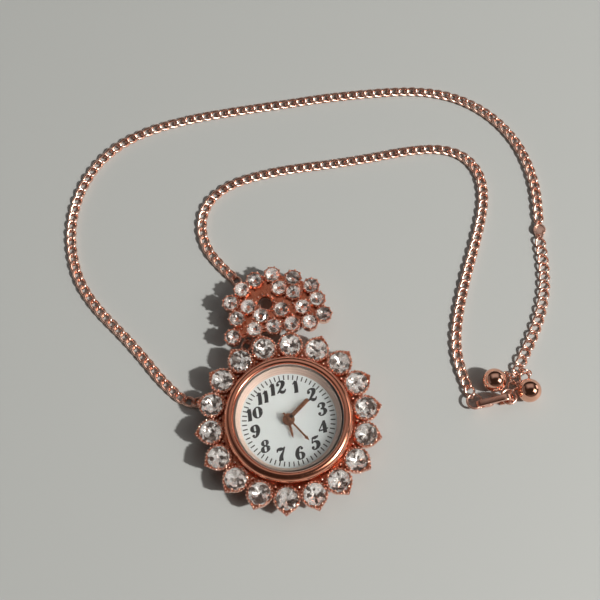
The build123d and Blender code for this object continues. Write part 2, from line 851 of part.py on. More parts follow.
# The winding stem, with a waist that the setting lever's pin runs in
crown_start = case_radius + fit * 2
with BuildPart() as stem:
    with BuildSketch(crown_axis.offset(stem_inner_end)):
        Circle(stem_radius)
    extrude(amount=crown_start + crown_length - stem_inner_end - fit * 6)
    with BuildSketch(crown_axis.offset(stem_waist_start)):
        Circle(stem_radius + overrun)
        Circle(stem_waist_radius, mode=Mode.SUBTRACT)
    extrude(amount=stem_waist_length, mode=Mode.SUBTRACT)
stem.part.label = "stem"
export_step(stem.part, "parts/stem.step")

# The sliding pinion near the stem's inner end
with BuildPart() as sliding_pinion:
    with BuildSketch(crown_axis.offset(stem_inner_end + fit * 4)):
        Polygon(*gear_outline(sliding_pinion_module, sliding_pinion_teeth), align=None)
        Circle(stem_radius + hair, mode=Mode.SUBTRACT)
    extrude(amount=sliding_pinion_length)
sliding_pinion.part.label = "sliding_pinion"
export_step(sliding_pinion.part, "parts/sliding_pinion.step")

# The setting lever, a small plate whose pin stands in the stem's waist and which turns as the crown is pulled
lever_bottom = stem_height + stem_radius + fit * 2
with BuildPart() as setting_lever:
    with BuildSketch(Plane.XY.offset(lever_bottom)):
        with Locations(lever_pivot, waist_place):
            Circle(lever_width / 2)
        make_hull()
    extrude(amount=lever_thickness)
    add(disc(lever_pin_radius, 0, stem_height + stem_waist_radius + hair, lever_bottom, waist_place))
    add(disc(pivot_radius, 0, lever_bottom + lever_thickness, plate_top - fit, lever_pivot))
setting_lever.part.label = "setting_lever"
export_step(setting_lever.part, "parts/setting_lever.step")

# The tube that leads the stem through the case wall and into the crown
with BuildPart() as crown_tube:
    with BuildSketch(crown_axis.offset(cavity_radius - fit * 2)):
        Circle(tube_radius)
        Circle(tube_radius - tube_wall, mode=Mode.SUBTRACT)
    extrude(amount=case_wall + fit * 2 + tube_reach)
crown_tube.part.label = "crown_tube"
export_step(crown_tube.part, "parts/crown_tube.step")

# The fluted crown, hollow where it runs over the tube and bored for the stem
with BuildPart() as crown:
    with BuildSketch(crown_axis.offset(crown_start)):
        flutes = []
        for half_flute in range(2 * crown_flutes):
            radius = crown_radius - crown_flute_depth * (half_flute % 2)
            angle = radians(180 / crown_flutes * half_flute)
            flutes.append((radius * cos(angle), radius * sin(angle)))
        Polygon(*flutes, align=None)
    extrude(amount=crown_length)
    with BuildSketch(crown_axis.offset(crown_start)):
        Circle(tube_radius + gasket_thickness)
    extrude(amount=crown_recess, mode=Mode.SUBTRACT)
    with BuildSketch(crown_axis.offset(crown_start)):
        Circle(stem_radius + hair)
    extrude(amount=crown_length - fit * 4, mode=Mode.SUBTRACT)
crown.part.label = "crown"
export_step(crown.part, "parts/crown.step")

# The crown's gasket, which rides in its recess round the tube
with BuildPart() as crown_gasket:
    with BuildSketch(crown_axis.offset(crown_start + crown_gasket_length / 2)):
        Circle(tube_radius + gasket_thickness - hair)
        Circle(tube_radius + hair, mode=Mode.SUBTRACT)
    extrude(amount=crown_gasket_length)
crown_gasket.part.label = "crown_gasket"
export_step(crown_gasket.part, "parts/crown_gasket.step")

# The collar: a ring plate with a pointed cup for each of its stones, and a bead between them at the bezel
cup_radius = collar_stone_radius + collar_cup_wall


def petal_outline(growth):
    """The outline of the collar's cups, each with a pointed outer end, grown by a clearance."""
    side = cup_radius + growth
    tip = petal_tip_radius - collar_stone_circle + growth
    lean = acos(side / tip)
    with BuildSketch() as outline:
        with PolarLocations(collar_stone_circle, collar_stones, start_angle=90 + 180 / collar_stones):
            RegularPolygon(radius=side, side_count=cup_facets, rotation=180 / cup_facets)
            Polygon(
                (0, 0),
                (side * cos(lean), -side * sin(lean)),
                (tip, 0),
                (side * cos(lean), side * sin(lean)),
                align=None,
            )
    return outline.sketch


with BuildPart() as collar_frame:
    with BuildSketch(Plane.XY.offset(flange_top)):
        Circle(collar_stone_circle)
        Circle(case_radius + fit, mode=Mode.SUBTRACT)
    extrude(amount=setting_plate)
    with BuildSketch(Plane.XY.offset(flange_top)):
        add(petal_outline(0))
    extrude(amount=setting_plate + setting_cup_height)
    with BuildSketch(Plane.XY.offset(cup_floor)):
        with PolarLocations(collar_stone_circle, collar_stones, start_angle=90 + 180 / collar_stones):
            RegularPolygon(radius=collar_stone_radius + fit, side_count=stone_facets)
    extrude(amount=setting_cup_height, mode=Mode.SUBTRACT)
    with BuildSketch(Plane.XY.offset(cup_floor)):
        with PolarLocations(collar_bead_circle, collar_stones, start_angle=90):
            RegularPolygon(radius=collar_bead_radius, side_count=bead_facets)
    extrude(amount=collar_bead_height, taper=bead_taper)
collar_frame.part.label = "collar_frame"
export_step(collar_frame.part, "parts/collar_frame.step")

# The collar's stones, one in each cup
girdle = cup_top - stone_girdle_drop
stone_table = girdle + stone_crown_height
one_collar_stone = gem(collar_stone_radius, cup_floor, girdle, stone_table, (collar_stone_circle, 0))
collar_turns = [Location((0, 0, 0), (0, 0, 90 + 360 / collar_stones * (stone + 0.5))) for stone in range(collar_stones)]
collar_stone_set = Compound(label="collar_stones", children=[one_collar_stone.moved(turn) for turn in collar_turns])
export_step(collar_stone_set, "parts/collar_stones.step")

# The crest's smaller stones, placed by hand as shares of the crest's width and height. Bars join their cups, and
# two of the bars reach down to the collar.
crest_place_shares = [
    (-0.18, 0.95),
    (-0.33, 0.81),
    (-0.47, 0.6),
    (-0.43, 0.31),
    (-0.5, 0.0),
    (0.02, 1.0),
    (0.24, 0.89),
    (0.42, 0.7),
    (0.46, 0.45),
    (0.5, 0.17),
    (0.34, 0.07),
    (0.29, 0.35),
    (0.06, 0.36),
    (0.07, 0.75),
    (0.22, 0.63),
    (-0.29, 0.49),
    (-0.17, 0.3),
    (-0.26, 0.08),
    (-0.05, 0.08),
    (0.145, 0.08),
]
crest_hole_share = (-0.105, 0.53)


def crest_point(share):
    """The X and Y of a place in the crest."""
    return crest_centre + crest_width * share[0], crest_base + crest_height * share[1]


crest_places = [crest_point(share) for share in crest_place_shares]
crest_cup_radius = crest_stone_radius + crest_cup_wall
collar_feet = [
    (collar_stone_circle * sin(radians(turn)), collar_stone_circle * cos(radians(turn)))
    for turn in (-180 / collar_stones, 180 / collar_stones)
]
crest_pairs = [
    (first, second)
    for index, first in enumerate(crest_places)
    for second in crest_places[index + 1 :] + collar_feet
    if dist(first, second) < crest_bar_reach
]
with BuildPart() as crest_frame:
    with BuildSketch(Plane.XY.offset(flange_top)):
        for (first_x, first_y), (second_x, second_y) in crest_pairs:
            bar_turn = degrees(atan2(second_y - first_y, second_x - first_x))
            with Locations(Location(((first_x + second_x) / 2, (first_y + second_y) / 2, 0), (0, 0, bar_turn))):
                Rectangle(dist((first_x, first_y), (second_x, second_y)), crest_bar_width)
        with Locations(*crest_places):
            RegularPolygon(radius=crest_cup_radius, side_count=stone_facets)
        with Locations(crest_point(crest_hole_share)):
            Circle(crest_hole_radius, mode=Mode.SUBTRACT)
        add(petal_outline(fit), mode=Mode.SUBTRACT)
    extrude(amount=setting_plate)
    with BuildSketch(Plane.XY.offset(cup_floor)):
        with Locations(*crest_places):
            RegularPolygon(radius=crest_cup_radius, side_count=stone_facets)
        with Locations(crest_point(crest_hole_share)):
            Circle(crest_hole_radius, mode=Mode.SUBTRACT)
        with Locations(*crest_places):
            RegularPolygon(radius=crest_stone_radius + fit, side_count=stone_facets, mode=Mode.SUBTRACT)
        add(petal_outline(fit), mode=Mode.SUBTRACT)
    extrude(amount=setting_cup_height)
crest_frame.part.label = "crest_frame"
export_step(crest_frame.part, "parts/crest_frame.step")

one_crest_stone = gem(crest_stone_radius, cup_floor, girdle, stone_table, (0, 0))
crest_stone_set = Compound(
    label="crest_stones", children=[one_crest_stone.moved(Location((*place, 0))) for place in crest_places]
)
export_step(crest_stone_set, "parts/crest_stones.step")

# The bail, a flat loop of strip behind the crest that the chain runs through
bail_height = flange_top - clasp_lift
with BuildPart() as bail:
    with BuildSketch(Plane(origin=(0, bail_station - bail_length / 2, 0), x_dir=(1, 0, 0), z_dir=(0, -1, 0))):
        with Locations((bail_centre, clasp_lift + bail_height / 2)):
            RectangleRounded(bail_width, bail_height, bail_strip)
            Rectangle(bail_width - bail_strip * 2, bail_height - bail_strip * 2, mode=Mode.SUBTRACT)
    extrude(amount=-bail_length)
bail.part.label = "bail"
export_step(bail.part, "parts/bail.step")

# The chain's route, as points on the table. The long run goes from the tag round to the bail, and the short
# run from the bail to the clasp. The extension goes from the tag to the hook of the clasp.
long_route = [
    (62.9, 37.4), (64.1, 43.2), (64.3, 50.0), (63.2, 57.0), (60.3, 63.6), (55.4, 69.4), (49.2, 73.4),
    (41.6, 75.7), (31.6, 76.6), (21.0, 77.0), (10.0, 76.8), (-1.0, 76.7), (-11.2, 76.3), (-20.4, 75.0),
    (-28.4, 72.3), (-34.6, 67.6), (-39.0, 61.0), (-41.5, 53.4), (-41.9, 45.6), (-40.5, 38.0), (-36.8, 31.0),
    (-32.0, 24.6), (-28.0, 18.4), (-24.6, 12.6), (-20.2, 7.4), (-14.6, 7.9), (-11.0, 12.4), (-7.6, 16.4),
    (-5.0, 20.6), (-4.1, 25.0),
]
short_route = [
    (-4.1, 25.0), (-4.4, 29.6), (-6.4, 33.8), (-9.6, 38.0), (-12.1, 42.6), (-12.7, 48.0), (-10.9, 53.3),
    (-6.4, 56.9), (-0.2, 58.6), (8.5, 59.4), (18.0, 59.2), (28.0, 59.3), (37.0, 59.9), (44.5, 59.4),
    (49.8, 56.8), (52.5, 51.8), (52.2, 45.8), (50.3, 40.2), (47.2, 33.6), (43.7, 26.6), (40.6, 19.6),
    (38.3, 12.8), (37.8, 6.8), (38.63, 2.14),
]
extension_route = [
    (62.1, 33.3), (61.6, 27.6), (60.3, 21.4), (57.9, 15.6), (54.4, 10.0), (50.9, 5.6), (48.39, 1.34),
]


def soft_route(name, points):
    """A level route through points, with each corner rounded as widely as its two straight runs allow."""
    radii = []
    for before, corner, after in zip(points, points[1:], points[2:]):
        arriving, leaving = Vector(*corner) - Vector(*before), Vector(*after) - Vector(*corner)
        turn = arriving.get_angle(leaving)
        radii.append(corner_share * min(arriving.length, leaving.length) / tan(radians(turn / 2)))
    print(name, "corner radii", [round(radius, 1) for radius in radii])
    with BuildLine() as route:
        FilletPolyline(*points, radius=radii)
    return route.wire()


def rise_at(x, y, along=Vector(1, 0)):
    """How far the chain is lifted at a point, and its slope along a direction."""
    lift, slope = 0, 0
    for centre_x, centre_y, rise, approach in chain_rises:
        outward = Vector(x - centre_x, y - centre_y)
        off = outward.length / approach
        if off < 1:
            lift += rise * (1 - off**2) ** 2
            slope -= 4 * rise * (1 - off**2) * outward.dot(along) / approach**2
    return lift, slope


def link_places(route, pitch):
    """Where each link of a run stands, with its X along the run, lifted where the run goes through the bail."""
    count = round(route.length / pitch)
    places = []
    for index in range(count):
        share = (index + 0.5) / count
        spot, along = route @ share, route % share
        lift, slope = rise_at(spot.X, spot.Y, along)
        rising = Vector(along.X, along.Y, slope)
        across = Vector(-along.Y, along.X, 0)
        places.append(Plane(origin=spot + Vector(0, 0, chain_height + lift), x_dir=rising, z_dir=rising.cross(across)))
    return places


def chain_of(name, link, places):
    """A run of separate links, each in the one before."""
    return Compound(label=name, children=[link.moved(place.location) for place in places])


small_link = curb_link(link_half_length, link_half_width, link_end_half_width, link_wire, link_sides)
big_link = curb_link(big_link_half_length, big_link_half_width, big_link_end_half_width, link_wire, big_link_sides)
long_run = soft_route("long run", long_route)
short_run = soft_route("short run", short_route)
extension_run = soft_route("extension", extension_route)
chain_long_run = chain_of("chain_long_run", small_link, link_places(long_run, link_pitch))
export_step(chain_long_run, "parts/chain_long_run.step")
chain_short_run = chain_of("chain_short_run", small_link, link_places(short_run, link_pitch))
export_step(chain_short_run, "parts/chain_short_run.step")
extension_places = link_places(extension_run, big_link_pitch)
extension_chain = chain_of("extension_chain", big_link, extension_places)
export_step(extension_chain, "parts/extension_chain.step")


def level_plane(spot, towards, height):
    """A level plane at a height over a point, with its X towards another point."""
    along = Vector(*towards) - Vector(*spot)
    return Plane(origin=(*spot, height), x_dir=(along.X, along.Y, 0), z_dir=(0, 0, 1))


# The tag, a small thick disc soldered on a long link between the chain and its extension
tag_place = tuple((Vector(*long_route[0]) + Vector(*extension_route[0])) / 2)[:2]
tag_plane = level_plane(tag_place, long_route[0], chain_height)
tag_link = curb_link(tag_link_half_length, link_half_width, link_end_half_width, link_wire, link_sides)
with BuildPart() as disc_tag:
    with BuildSketch(Plane.XY.offset(-tag_thickness / 2)):
        Circle(tag_radius)
    extrude(amount=tag_thickness)
    add(tag_link)
disc_tag_part = tag_plane * disc_tag.part
disc_tag_part.label = "disc_tag"
export_step(disc_tag_part, "parts/disc_tag.step")

# The clasp stands on its edge. Its plane runs along X, with its spine up and its gate below.
eye_centre = (clasp_eye_radius, clasp_eye_radius)
bow_centre = (clasp_length - clasp_bow_radius, clasp_bow_radius)
pivot = (clasp_length * clasp_pivot_share, clasp_eye_radius)
gate_end = clasp_length * clasp_gate_share
clasp_plane = Plane(origin=(clasp_start, clasp_face, clasp_lift), x_dir=(1, 0, 0), z_dir=(0, -1, 0))
with BuildPart() as clasp_body:
    with BuildSketch(clasp_plane):
        with Locations(bow_centre):
            Circle(clasp_bow_radius)
        with Locations(eye_centre):
            Circle(clasp_eye_radius)
        make_hull()
        with Locations(eye_centre):
            Circle(clasp_eye_hole, mode=Mode.SUBTRACT)
        with BuildSketch(mode=Mode.SUBTRACT):
            with Locations(bow_centre):
                Circle(clasp_bow_opening)
            with Locations((pivot[0] + clasp_bow_opening, bow_centre[1])):
                Circle(clasp_bow_opening / 2)
            make_hull()
        with Locations((gate_end, -overrun)):
            Rectangle(
                gate_end - pivot[0],
                clasp_gate_depth * 2 + overrun,
                align=(Align.MAX, Align.MIN),
                mode=Mode.SUBTRACT,
            )
        with Locations(pivot):
            Circle(clasp_pin_radius + hair, mode=Mode.SUBTRACT)
    extrude(amount=clasp_thickness)
    with BuildSketch(clasp_plane.offset((clasp_thickness - clasp_slot) / 2)):
        with Locations(pivot):
            Rectangle(
                clasp_gate_depth * 2, clasp_gate_depth * 3, align=(Align.CENTER, Align.CENTER)
            )
    extrude(amount=clasp_slot, mode=Mode.SUBTRACT)
    for side in (0, clasp_thickness - clasp_eye_step):
        with BuildSketch(clasp_plane.offset(side)):
            Rectangle(clasp_eye_radius * 2 - fit, clasp_length, align=(Align.MIN, Align.CENTER))
        extrude(amount=clasp_eye_step, mode=Mode.SUBTRACT)
clasp_body.part.label = "clasp_body"
export_step(clasp_body.part, "parts/clasp_body.step")

# The clasp's lever, which closes the gate from inside
slot_start = (clasp_thickness - clasp_slot) / 2
with BuildPart() as clasp_lever:
    with BuildSketch(clasp_plane.offset(slot_start + fit)):
        with Locations(pivot):
            Circle(clasp_pin_radius * 2)
        with Locations((gate_end - clasp_lever_depth / 2 - fit, clasp_lever_depth)):
            Circle(clasp_lever_depth / 2)
        make_hull()
        with Locations(pivot):
            Circle(clasp_pin_radius + hair, mode=Mode.SUBTRACT)
    extrude(amount=clasp_lever_thickness)
clasp_lever.part.label = "clasp_lever"
export_step(clasp_lever.part, "parts/clasp_lever.step")

# The pin that the lever turns on, and the small coil that closes it
with BuildPart() as clasp_pin:
    with BuildSketch(clasp_plane):
        with Locations(pivot):
            Circle(clasp_pin_radius)
    extrude(amount=clasp_thickness)
clasp_pin.part.label = "clasp_pin"
export_step(clasp_pin.part, "parts/clasp_pin.step")

with BuildPart() as clasp_spring:
    with BuildSketch(clasp_plane.offset(slot_start + fit * 2 + clasp_lever_thickness)):
        with Locations(pivot):
            Circle(clasp_pin_radius + hair + clasp_spring_wall)
            Circle(clasp_pin_radius + hair, mode=Mode.SUBTRACT)
    extrude(amount=clasp_slot - clasp_lever_thickness - fit * 3)
clasp_spring.part.label = "clasp_spring"
export_step(clasp_spring.part, "parts/clasp_spring.step")

# The rings: one joins the clasp's eye to the chain and one closes on the clasp's hook
clasp_middle = clasp_face - clasp_thickness / 2
clasp_ring_place = (
    clasp_start + eye_centre[0] + clasp_ring_radius * cos(radians(clasp_ring_bearing)),
    clasp_middle + clasp_ring_radius * sin(radians(clasp_ring_bearing)),
)
clasp_ring_height = clasp_lift + eye_centre[1]
clasp_ring = Pos(*clasp_ring_place, clasp_ring_height) * round_ring(clasp_ring_radius, ring_wire)
clasp_ring.label = "clasp_ring"
export_step(clasp_ring, "parts/clasp_ring.step")

end_ring_place = (
    clasp_start + bow_centre[0] + end_ring_radius * cos(radians(end_ring_bearing)),
    clasp_middle + end_ring_radius * sin(radians(end_ring_bearing)),
)
end_ring_height = clasp_lift + bow_centre[1] - clasp_bow_opening + ring_wire + fit * 5
end_ring = Pos(*end_ring_place, end_ring_height) * round_ring(end_ring_radius, ring_wire)
end_ring.label = "end_ring"
export_step(end_ring, "parts/end_ring.step")


def hooked_link(run_end, ring_place, ring_radius, ring_height):
    """A link between the last link of a run, on the table, and a level ring, where its end stands upright."""
    low, high = Vector(*run_end, chain_height + rise_at(*run_end)[0]), Vector(*ring_place, ring_height)
    way = Vector(low.X - high.X, low.Y - high.Y, 0).normalized()
    inner = high + way * (ring_radius * cos(radians(180 / ring_bars)) - bar_share * ring_wire * 2 - fit)
    outer = inner + way * join_half_length * 2
    outer = Vector(outer.X, outer.Y, low.Z)
    along = inner - outer
    place = Plane(origin=(inner + outer) / 2, x_dir=along, z_dir=along.cross(Vector(way.Y, -way.X, 0)))
    link = curb_link(join_half_length, join_half_width, join_end_half_width, link_wire, big_link_sides, join_twist)
    return place * Rot(join_roll, 0, 0) * link


# The joining links, one at each ring
joining_links = Compound(
    label="joining_links",
    children=[
        hooked_link(short_route[-1], clasp_ring_place, clasp_ring_radius, clasp_ring_height),
        hooked_link(extension_route[-1], end_ring_place, end_ring_radius, end_ring_height),
    ],
)
export_step(joining_links, "parts/joining_links.step")

# The balls' own rings, each upright through a link of the extension
ball_rings, ball_eyes = [], []
for link_from_end, side in ball_links:
    spot = extension_places[-link_from_end]
    across = Vector(spot.y_dir.X, spot.y_dir.Y, 0).normalized() * side
    foot = Vector(spot.origin.X, spot.origin.Y, ball_ring_radius + bar_share * ball_wire + hair)
    upright = Plane(origin=foot + across * ball_ring_radius, x_dir=across, z_dir=across.cross(Vector(0, 0, 1)))
    ball_rings.append(upright * round_ring(ball_ring_radius, ball_wire))
    ball_eyes.append(foot + across * ball_ring_radius * 2)
ball_ring_pair = Compound(label="ball_rings", children=ball_rings)
export_step(ball_ring_pair, "parts/ball_rings.step")

# The two balls, each with a short post and an eye on its ring
ball_height = ball_radius + clasp_lift
balls = []
for place, eye in zip(ball_places, ball_eyes):
    centre = Vector(*place, ball_height)
    hang = eye - centre
    with BuildPart() as ball:
        with Locations(centre):
            Sphere(ball_radius)
        with BuildSketch(Plane(origin=centre, z_dir=hang)):
            Circle(ball_post_radius)
        extrude(amount=hang.length - ball_eye_radius)
        add(Pos(*eye) * round_ring(ball_eye_radius, ball_eye_wire))
    balls.append(ball.part)
end_balls = Compound(label="end_balls", children=balls)
export_step(end_balls, "parts/end_balls.step")
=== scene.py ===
"""Dresses the pendant watch: its table and light, chain and clasp, case, dial and hands, and its stones."""

import random
from math import acos, atan2, cos, hypot, pi, radians, sin, tau

import bpy
import numpy as np
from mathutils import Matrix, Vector


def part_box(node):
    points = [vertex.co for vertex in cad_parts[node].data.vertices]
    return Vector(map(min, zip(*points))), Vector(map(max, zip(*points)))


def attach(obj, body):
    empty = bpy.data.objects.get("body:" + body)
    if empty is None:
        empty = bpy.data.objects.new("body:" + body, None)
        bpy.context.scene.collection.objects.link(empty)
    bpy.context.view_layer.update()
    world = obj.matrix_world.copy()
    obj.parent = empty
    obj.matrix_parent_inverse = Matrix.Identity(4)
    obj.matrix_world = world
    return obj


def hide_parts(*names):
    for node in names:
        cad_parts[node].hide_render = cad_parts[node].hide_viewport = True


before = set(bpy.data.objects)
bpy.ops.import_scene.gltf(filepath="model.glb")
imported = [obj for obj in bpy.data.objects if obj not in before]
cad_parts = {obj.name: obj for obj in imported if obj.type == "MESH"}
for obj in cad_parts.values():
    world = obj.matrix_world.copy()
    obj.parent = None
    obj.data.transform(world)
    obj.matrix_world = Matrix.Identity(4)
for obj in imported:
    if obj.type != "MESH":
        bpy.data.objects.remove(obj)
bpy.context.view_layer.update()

# The camera: a phone held over the table, on the side of the six o'clock and tilted 21 degrees from straight
# down. Its place was worked out from the bezel's ellipse and from the shadows under the chain.
mm = 0.001
lens_eye = Vector((-5.27, -48.09, 197.79)) * mm
lens_aim = Vector((6.67, 27.29, 0.0)) * mm
camera_data = bpy.data.cameras.new("phone_camera")
camera_data.sensor_width = 36.0
camera_data.lens = 57.96
camera_data.clip_start = 0.005
camera = bpy.data.objects.new("phone_camera", camera_data)
camera.location = lens_eye
camera.rotation_euler = (lens_aim - lens_eye).to_track_quat("-Z", "Y").to_euler()
bpy.context.collection.objects.link(camera)
bpy.context.scene.camera = camera
bpy.context.scene.view_settings.view_transform = "Standard"


# The table: a pale grey board with a smooth, dull lacquer, far wider than the picture. The watch and its
# chain lie flat on it.
def painted(name, colour, gloss, metal=0.0):
    """A plain finish of one colour. The other finishes add their patterns to it."""
    finish = bpy.data.materials.new(name)
    finish.use_nodes = True
    shader = finish.node_tree.nodes["Principled BSDF"]
    shader.inputs["Base Color"].default_value = (*colour, 1.0)
    shader.inputs["Roughness"].default_value = gloss
    shader.inputs["Metallic"].default_value = metal
    return finish


table_reach = 3.0
table_gap = 0.00003
table_corners = [(x * table_reach, y * table_reach, 0) for x, y in ((-1, -1), (1, -1), (1, 1), (-1, 1))]
table_mesh = bpy.data.meshes.new("table_top")
table_mesh.from_pydata(table_corners, [], [(0, 1, 2, 3)])
table_mesh.materials.append(painted("pale_board", (0.485, 0.508, 0.50), 0.55))
table_top = bpy.data.objects.new("table_top", table_mesh)
table_top.location = (0, 0, -table_gap)
bpy.context.collection.objects.link(table_top)

# The light: low sun through a window on the lower right, at about 45 degrees, in a dim room. Round the sun
# the window is bright, and pale stretches of ceiling and wall give the polished metal something to show.
window_way = Vector((0.63, -0.38, 0.70))
lamp_target = Vector((0.006, 0.028, 0.002))
lamp_distance = 1.30
lamp_data = bpy.data.lights.new("window_lamp", "AREA")
lamp_data.shape = "SQUARE"
lamp_data.size = 0.062
lamp_data.energy = 17.0
lamp_data.color = (1.0, 0.97, 0.93)
window_lamp = bpy.data.objects.new("window_lamp", lamp_data)
window_lamp.location = lamp_target + window_way.normalized() * lamp_distance
window_lamp.rotation_euler = (lamp_target - window_lamp.location).to_track_quat("-Z", "Y").to_euler()
bpy.context.collection.objects.link(window_lamp)

room = bpy.data.worlds.new("dim_room")
room.use_nodes = True
bpy.context.scene.world = room
room_nodes, room_links = room.node_tree.nodes, room.node_tree.links
room_place = room_nodes.new("ShaderNodeTexCoord")


def room_dot(way):
    """How far a direction in the room leans towards another."""
    lean = room_nodes.new("ShaderNodeVectorMath")
    lean.operation = "DOT_PRODUCT"
    lean.inputs[1].default_value = way
    room_links.new(room_place.outputs["Generated"], lean.inputs[0])
    return lean.outputs["Value"]


def room_math(operation, first, second):
    """One step of arithmetic in the room's light."""
    step = room_nodes.new("ShaderNodeMath")
    step.operation = operation
    for place, value in zip(step.inputs, (first, second)):
        if isinstance(value, (int, float)):
            place.default_value = value
        else:
            room_links.new(value, place)
    return step.outputs[0]


def room_fade(distance, outer, inner):
    """A soft edge, from nothing at the outer distance to all at the inner one."""
    fade = room_nodes.new("ShaderNodeMapRange")
    fade.interpolation_type = "SMOOTHSTEP"
    fade.inputs["From Min"].default_value = outer
    fade.inputs["From Max"].default_value = inner
    room_links.new(distance, fade.inputs[0])
    return fade.outputs[0]


# Each stretch has its direction, half its width and height, the width of its soft edge, and its colour.
bright_stretches = [
    (window_way, 0.20, 0.26, 0.08, (1.7, 1.62, 1.50)),
    ((0.95, 0.20, 0.36), 0.16, 0.10, 0.10, (1.5, 1.45, 1.35)),
    ((0.05, 0.50, 0.86), 0.30, 0.12, 0.40, (0.42, 0.40, 0.39)),
    ((-0.85, 0.10, 0.35), 0.45, 0.12, 0.20, (0.16, 0.15, 0.15)),
    ((0.10, -0.92, 0.30), 0.55, 0.10, 0.20, (0.12, 0.10, 0.09)),
]
room_dark = (0.034, 0.026, 0.021)
room_glow = None
for way, wide, tall, soft, glow in bright_stretches:
    way = Vector(way).normalized()
    level = Vector((-way.y, way.x, 0)).normalized()
    inside = room_math("GREATER_THAN", room_dot(way), 0.0)
    for side, reach in ((level, wide), (way.cross(level), tall)):
        distance = room_math("ABSOLUTE", room_dot(side), 0.0)
        inside = room_math("MULTIPLY", inside, room_fade(distance, reach + soft, reach))
    glowing = room_nodes.new("ShaderNodeMixRGB")
    glowing.inputs[1].default_value = (*room_dark, 1)
    glowing.inputs[2].default_value = (*glow, 1)
    room_links.new(inside, glowing.inputs[0])
    if room_glow is not None:
        room_links.new(room_glow.outputs[0], glowing.inputs[1])
    room_glow = glowing

# The backdrop: past the table's far edge stands a pale wall. It shows in low views, and in metal and glass
# only low over the table's edge, where the top of it fades into the room.
backdrop_pale = (0.50, 0.505, 0.49)
backdrop_top = 0.20
backdrop_full = 0.12
room_ray = room_nodes.new("ShaderNodeLightPath")
backdrop_edge = room_fade(room_dot((0.0, 0.0, 1.0)), backdrop_top, backdrop_full)
mirrored = room_math("MAXIMUM", room_ray.outputs["Is Glossy Ray"], room_ray.outputs["Is Transmission Ray"])
mirrored = room_math("MULTIPLY", mirrored, backdrop_edge)
backdrop = room_nodes.new("ShaderNodeMixRGB")
backdrop.inputs[2].default_value = (*backdrop_pale, 1)
room_links.new(room_math("MAXIMUM", room_ray.outputs["Is Camera Ray"], mirrored), backdrop.inputs[0])
room_links.new(room_glow.outputs[0], backdrop.inputs[1])
room_links.new(backdrop.outputs[0], room_nodes["Background"].inputs["Color"])
room_nodes["Background"].inputs["Strength"].default_value = 1.0


# The chain: curb links of round wire, plated in rose gold. Each link is cut from a coil of wire, closed,
# and twisted so that the run lies flat. The long run goes from the tag round the table to the bail behind
# the crest.
def piece(
    name, points, faces, finish, body="watch_case", crease=35, second=None, marks=None,
):
    """Adds one piece of the watch, in millimetres, with its finish, and fixes it to a body."""
    mesh = bpy.data.meshes.new(name)
    mesh.from_pydata((np.asarray(points, dtype=float) * mm).tolist(), [], faces)
    mesh.materials.append(finish)
    if second is not None:
        mesh.materials.append(second)
        mesh.polygons.foreach_set("material_index", marks)
    mesh.polygons.foreach_set("use_smooth", [crease > 0] * len(mesh.polygons))
    if 0 < crease < 180:
        mesh.set_sharp_from_angle(angle=radians(crease))
    mesh.update()
    added = bpy.data.objects.new(name, mesh)
    bpy.context.collection.objects.link(added)
    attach(added, body)
    return added


def gathered(parts):
    """Joins lists of points and faces into one."""
    points, faces = [], []
    for part_points, part_faces in parts:
        start = len(points)
        points.extend([tuple(point) for point in part_points])
        faces.extend([tuple(start + corner for corner in face) for face in part_faces])
    return points, faces


def skin(rows, width, closed=False):
    """The faces between rows of points that each close round. Closed, it joins the last row to the first."""
    faces = []
    for row in range(rows if closed else rows - 1):
        start, after = row * width, (row + 1) % rows * width
        for corner in range(width):
            following = (corner + 1) % width
            faces.append((start + corner, start + following, after + following, after + corner))
    return faces


def pattern(finish, kind, **settings):
    """A pattern that is fixed to the piece it covers, with its settings."""
    nodes, links = finish.node_tree.nodes, finish.node_tree.links
    place = nodes.new("ShaderNodeTexCoord")
    drawn = nodes.new(kind)
    for setting, value in settings.items():
        drawn.inputs[setting].default_value = value
    links.new(place.outputs["Object"], drawn.inputs["Vector"])
    return drawn


def coloured_by(finish, value, deep, pale, low=0.0, high=1.0):
    """Colours a finish by a pattern's value, deep up to the low value and pale from the high one."""
    nodes, links = finish.node_tree.nodes, finish.node_tree.links
    tint = nodes.new("ShaderNodeValToRGB")
    tint.color_ramp.elements[0].position = low
    tint.color_ramp.elements[0].color = (*deep, 1)
    tint.color_ramp.elements[1].position = high
    tint.color_ramp.elements[1].color = (*pale, 1)
    links.new(value, tint.inputs[0])
    links.new(tint.outputs[0], nodes["Principled BSDF"].inputs["Base Color"])
    return tint


def raised_by(finish, value, strength, depth):
    """Gives a finish a fine relief by a pattern's value. Its depth is in millimetres."""
    nodes, links = finish.node_tree.nodes, finish.node_tree.links
    relief = nodes.new("ShaderNodeBump")
    relief.inputs["Strength"].default_value = strength
    relief.inputs["Distance"].default_value = depth * mm
    links.new(value, relief.inputs["Height"])
    links.new(relief.outputs[0], nodes["Principled BSDF"].inputs["Normal"])


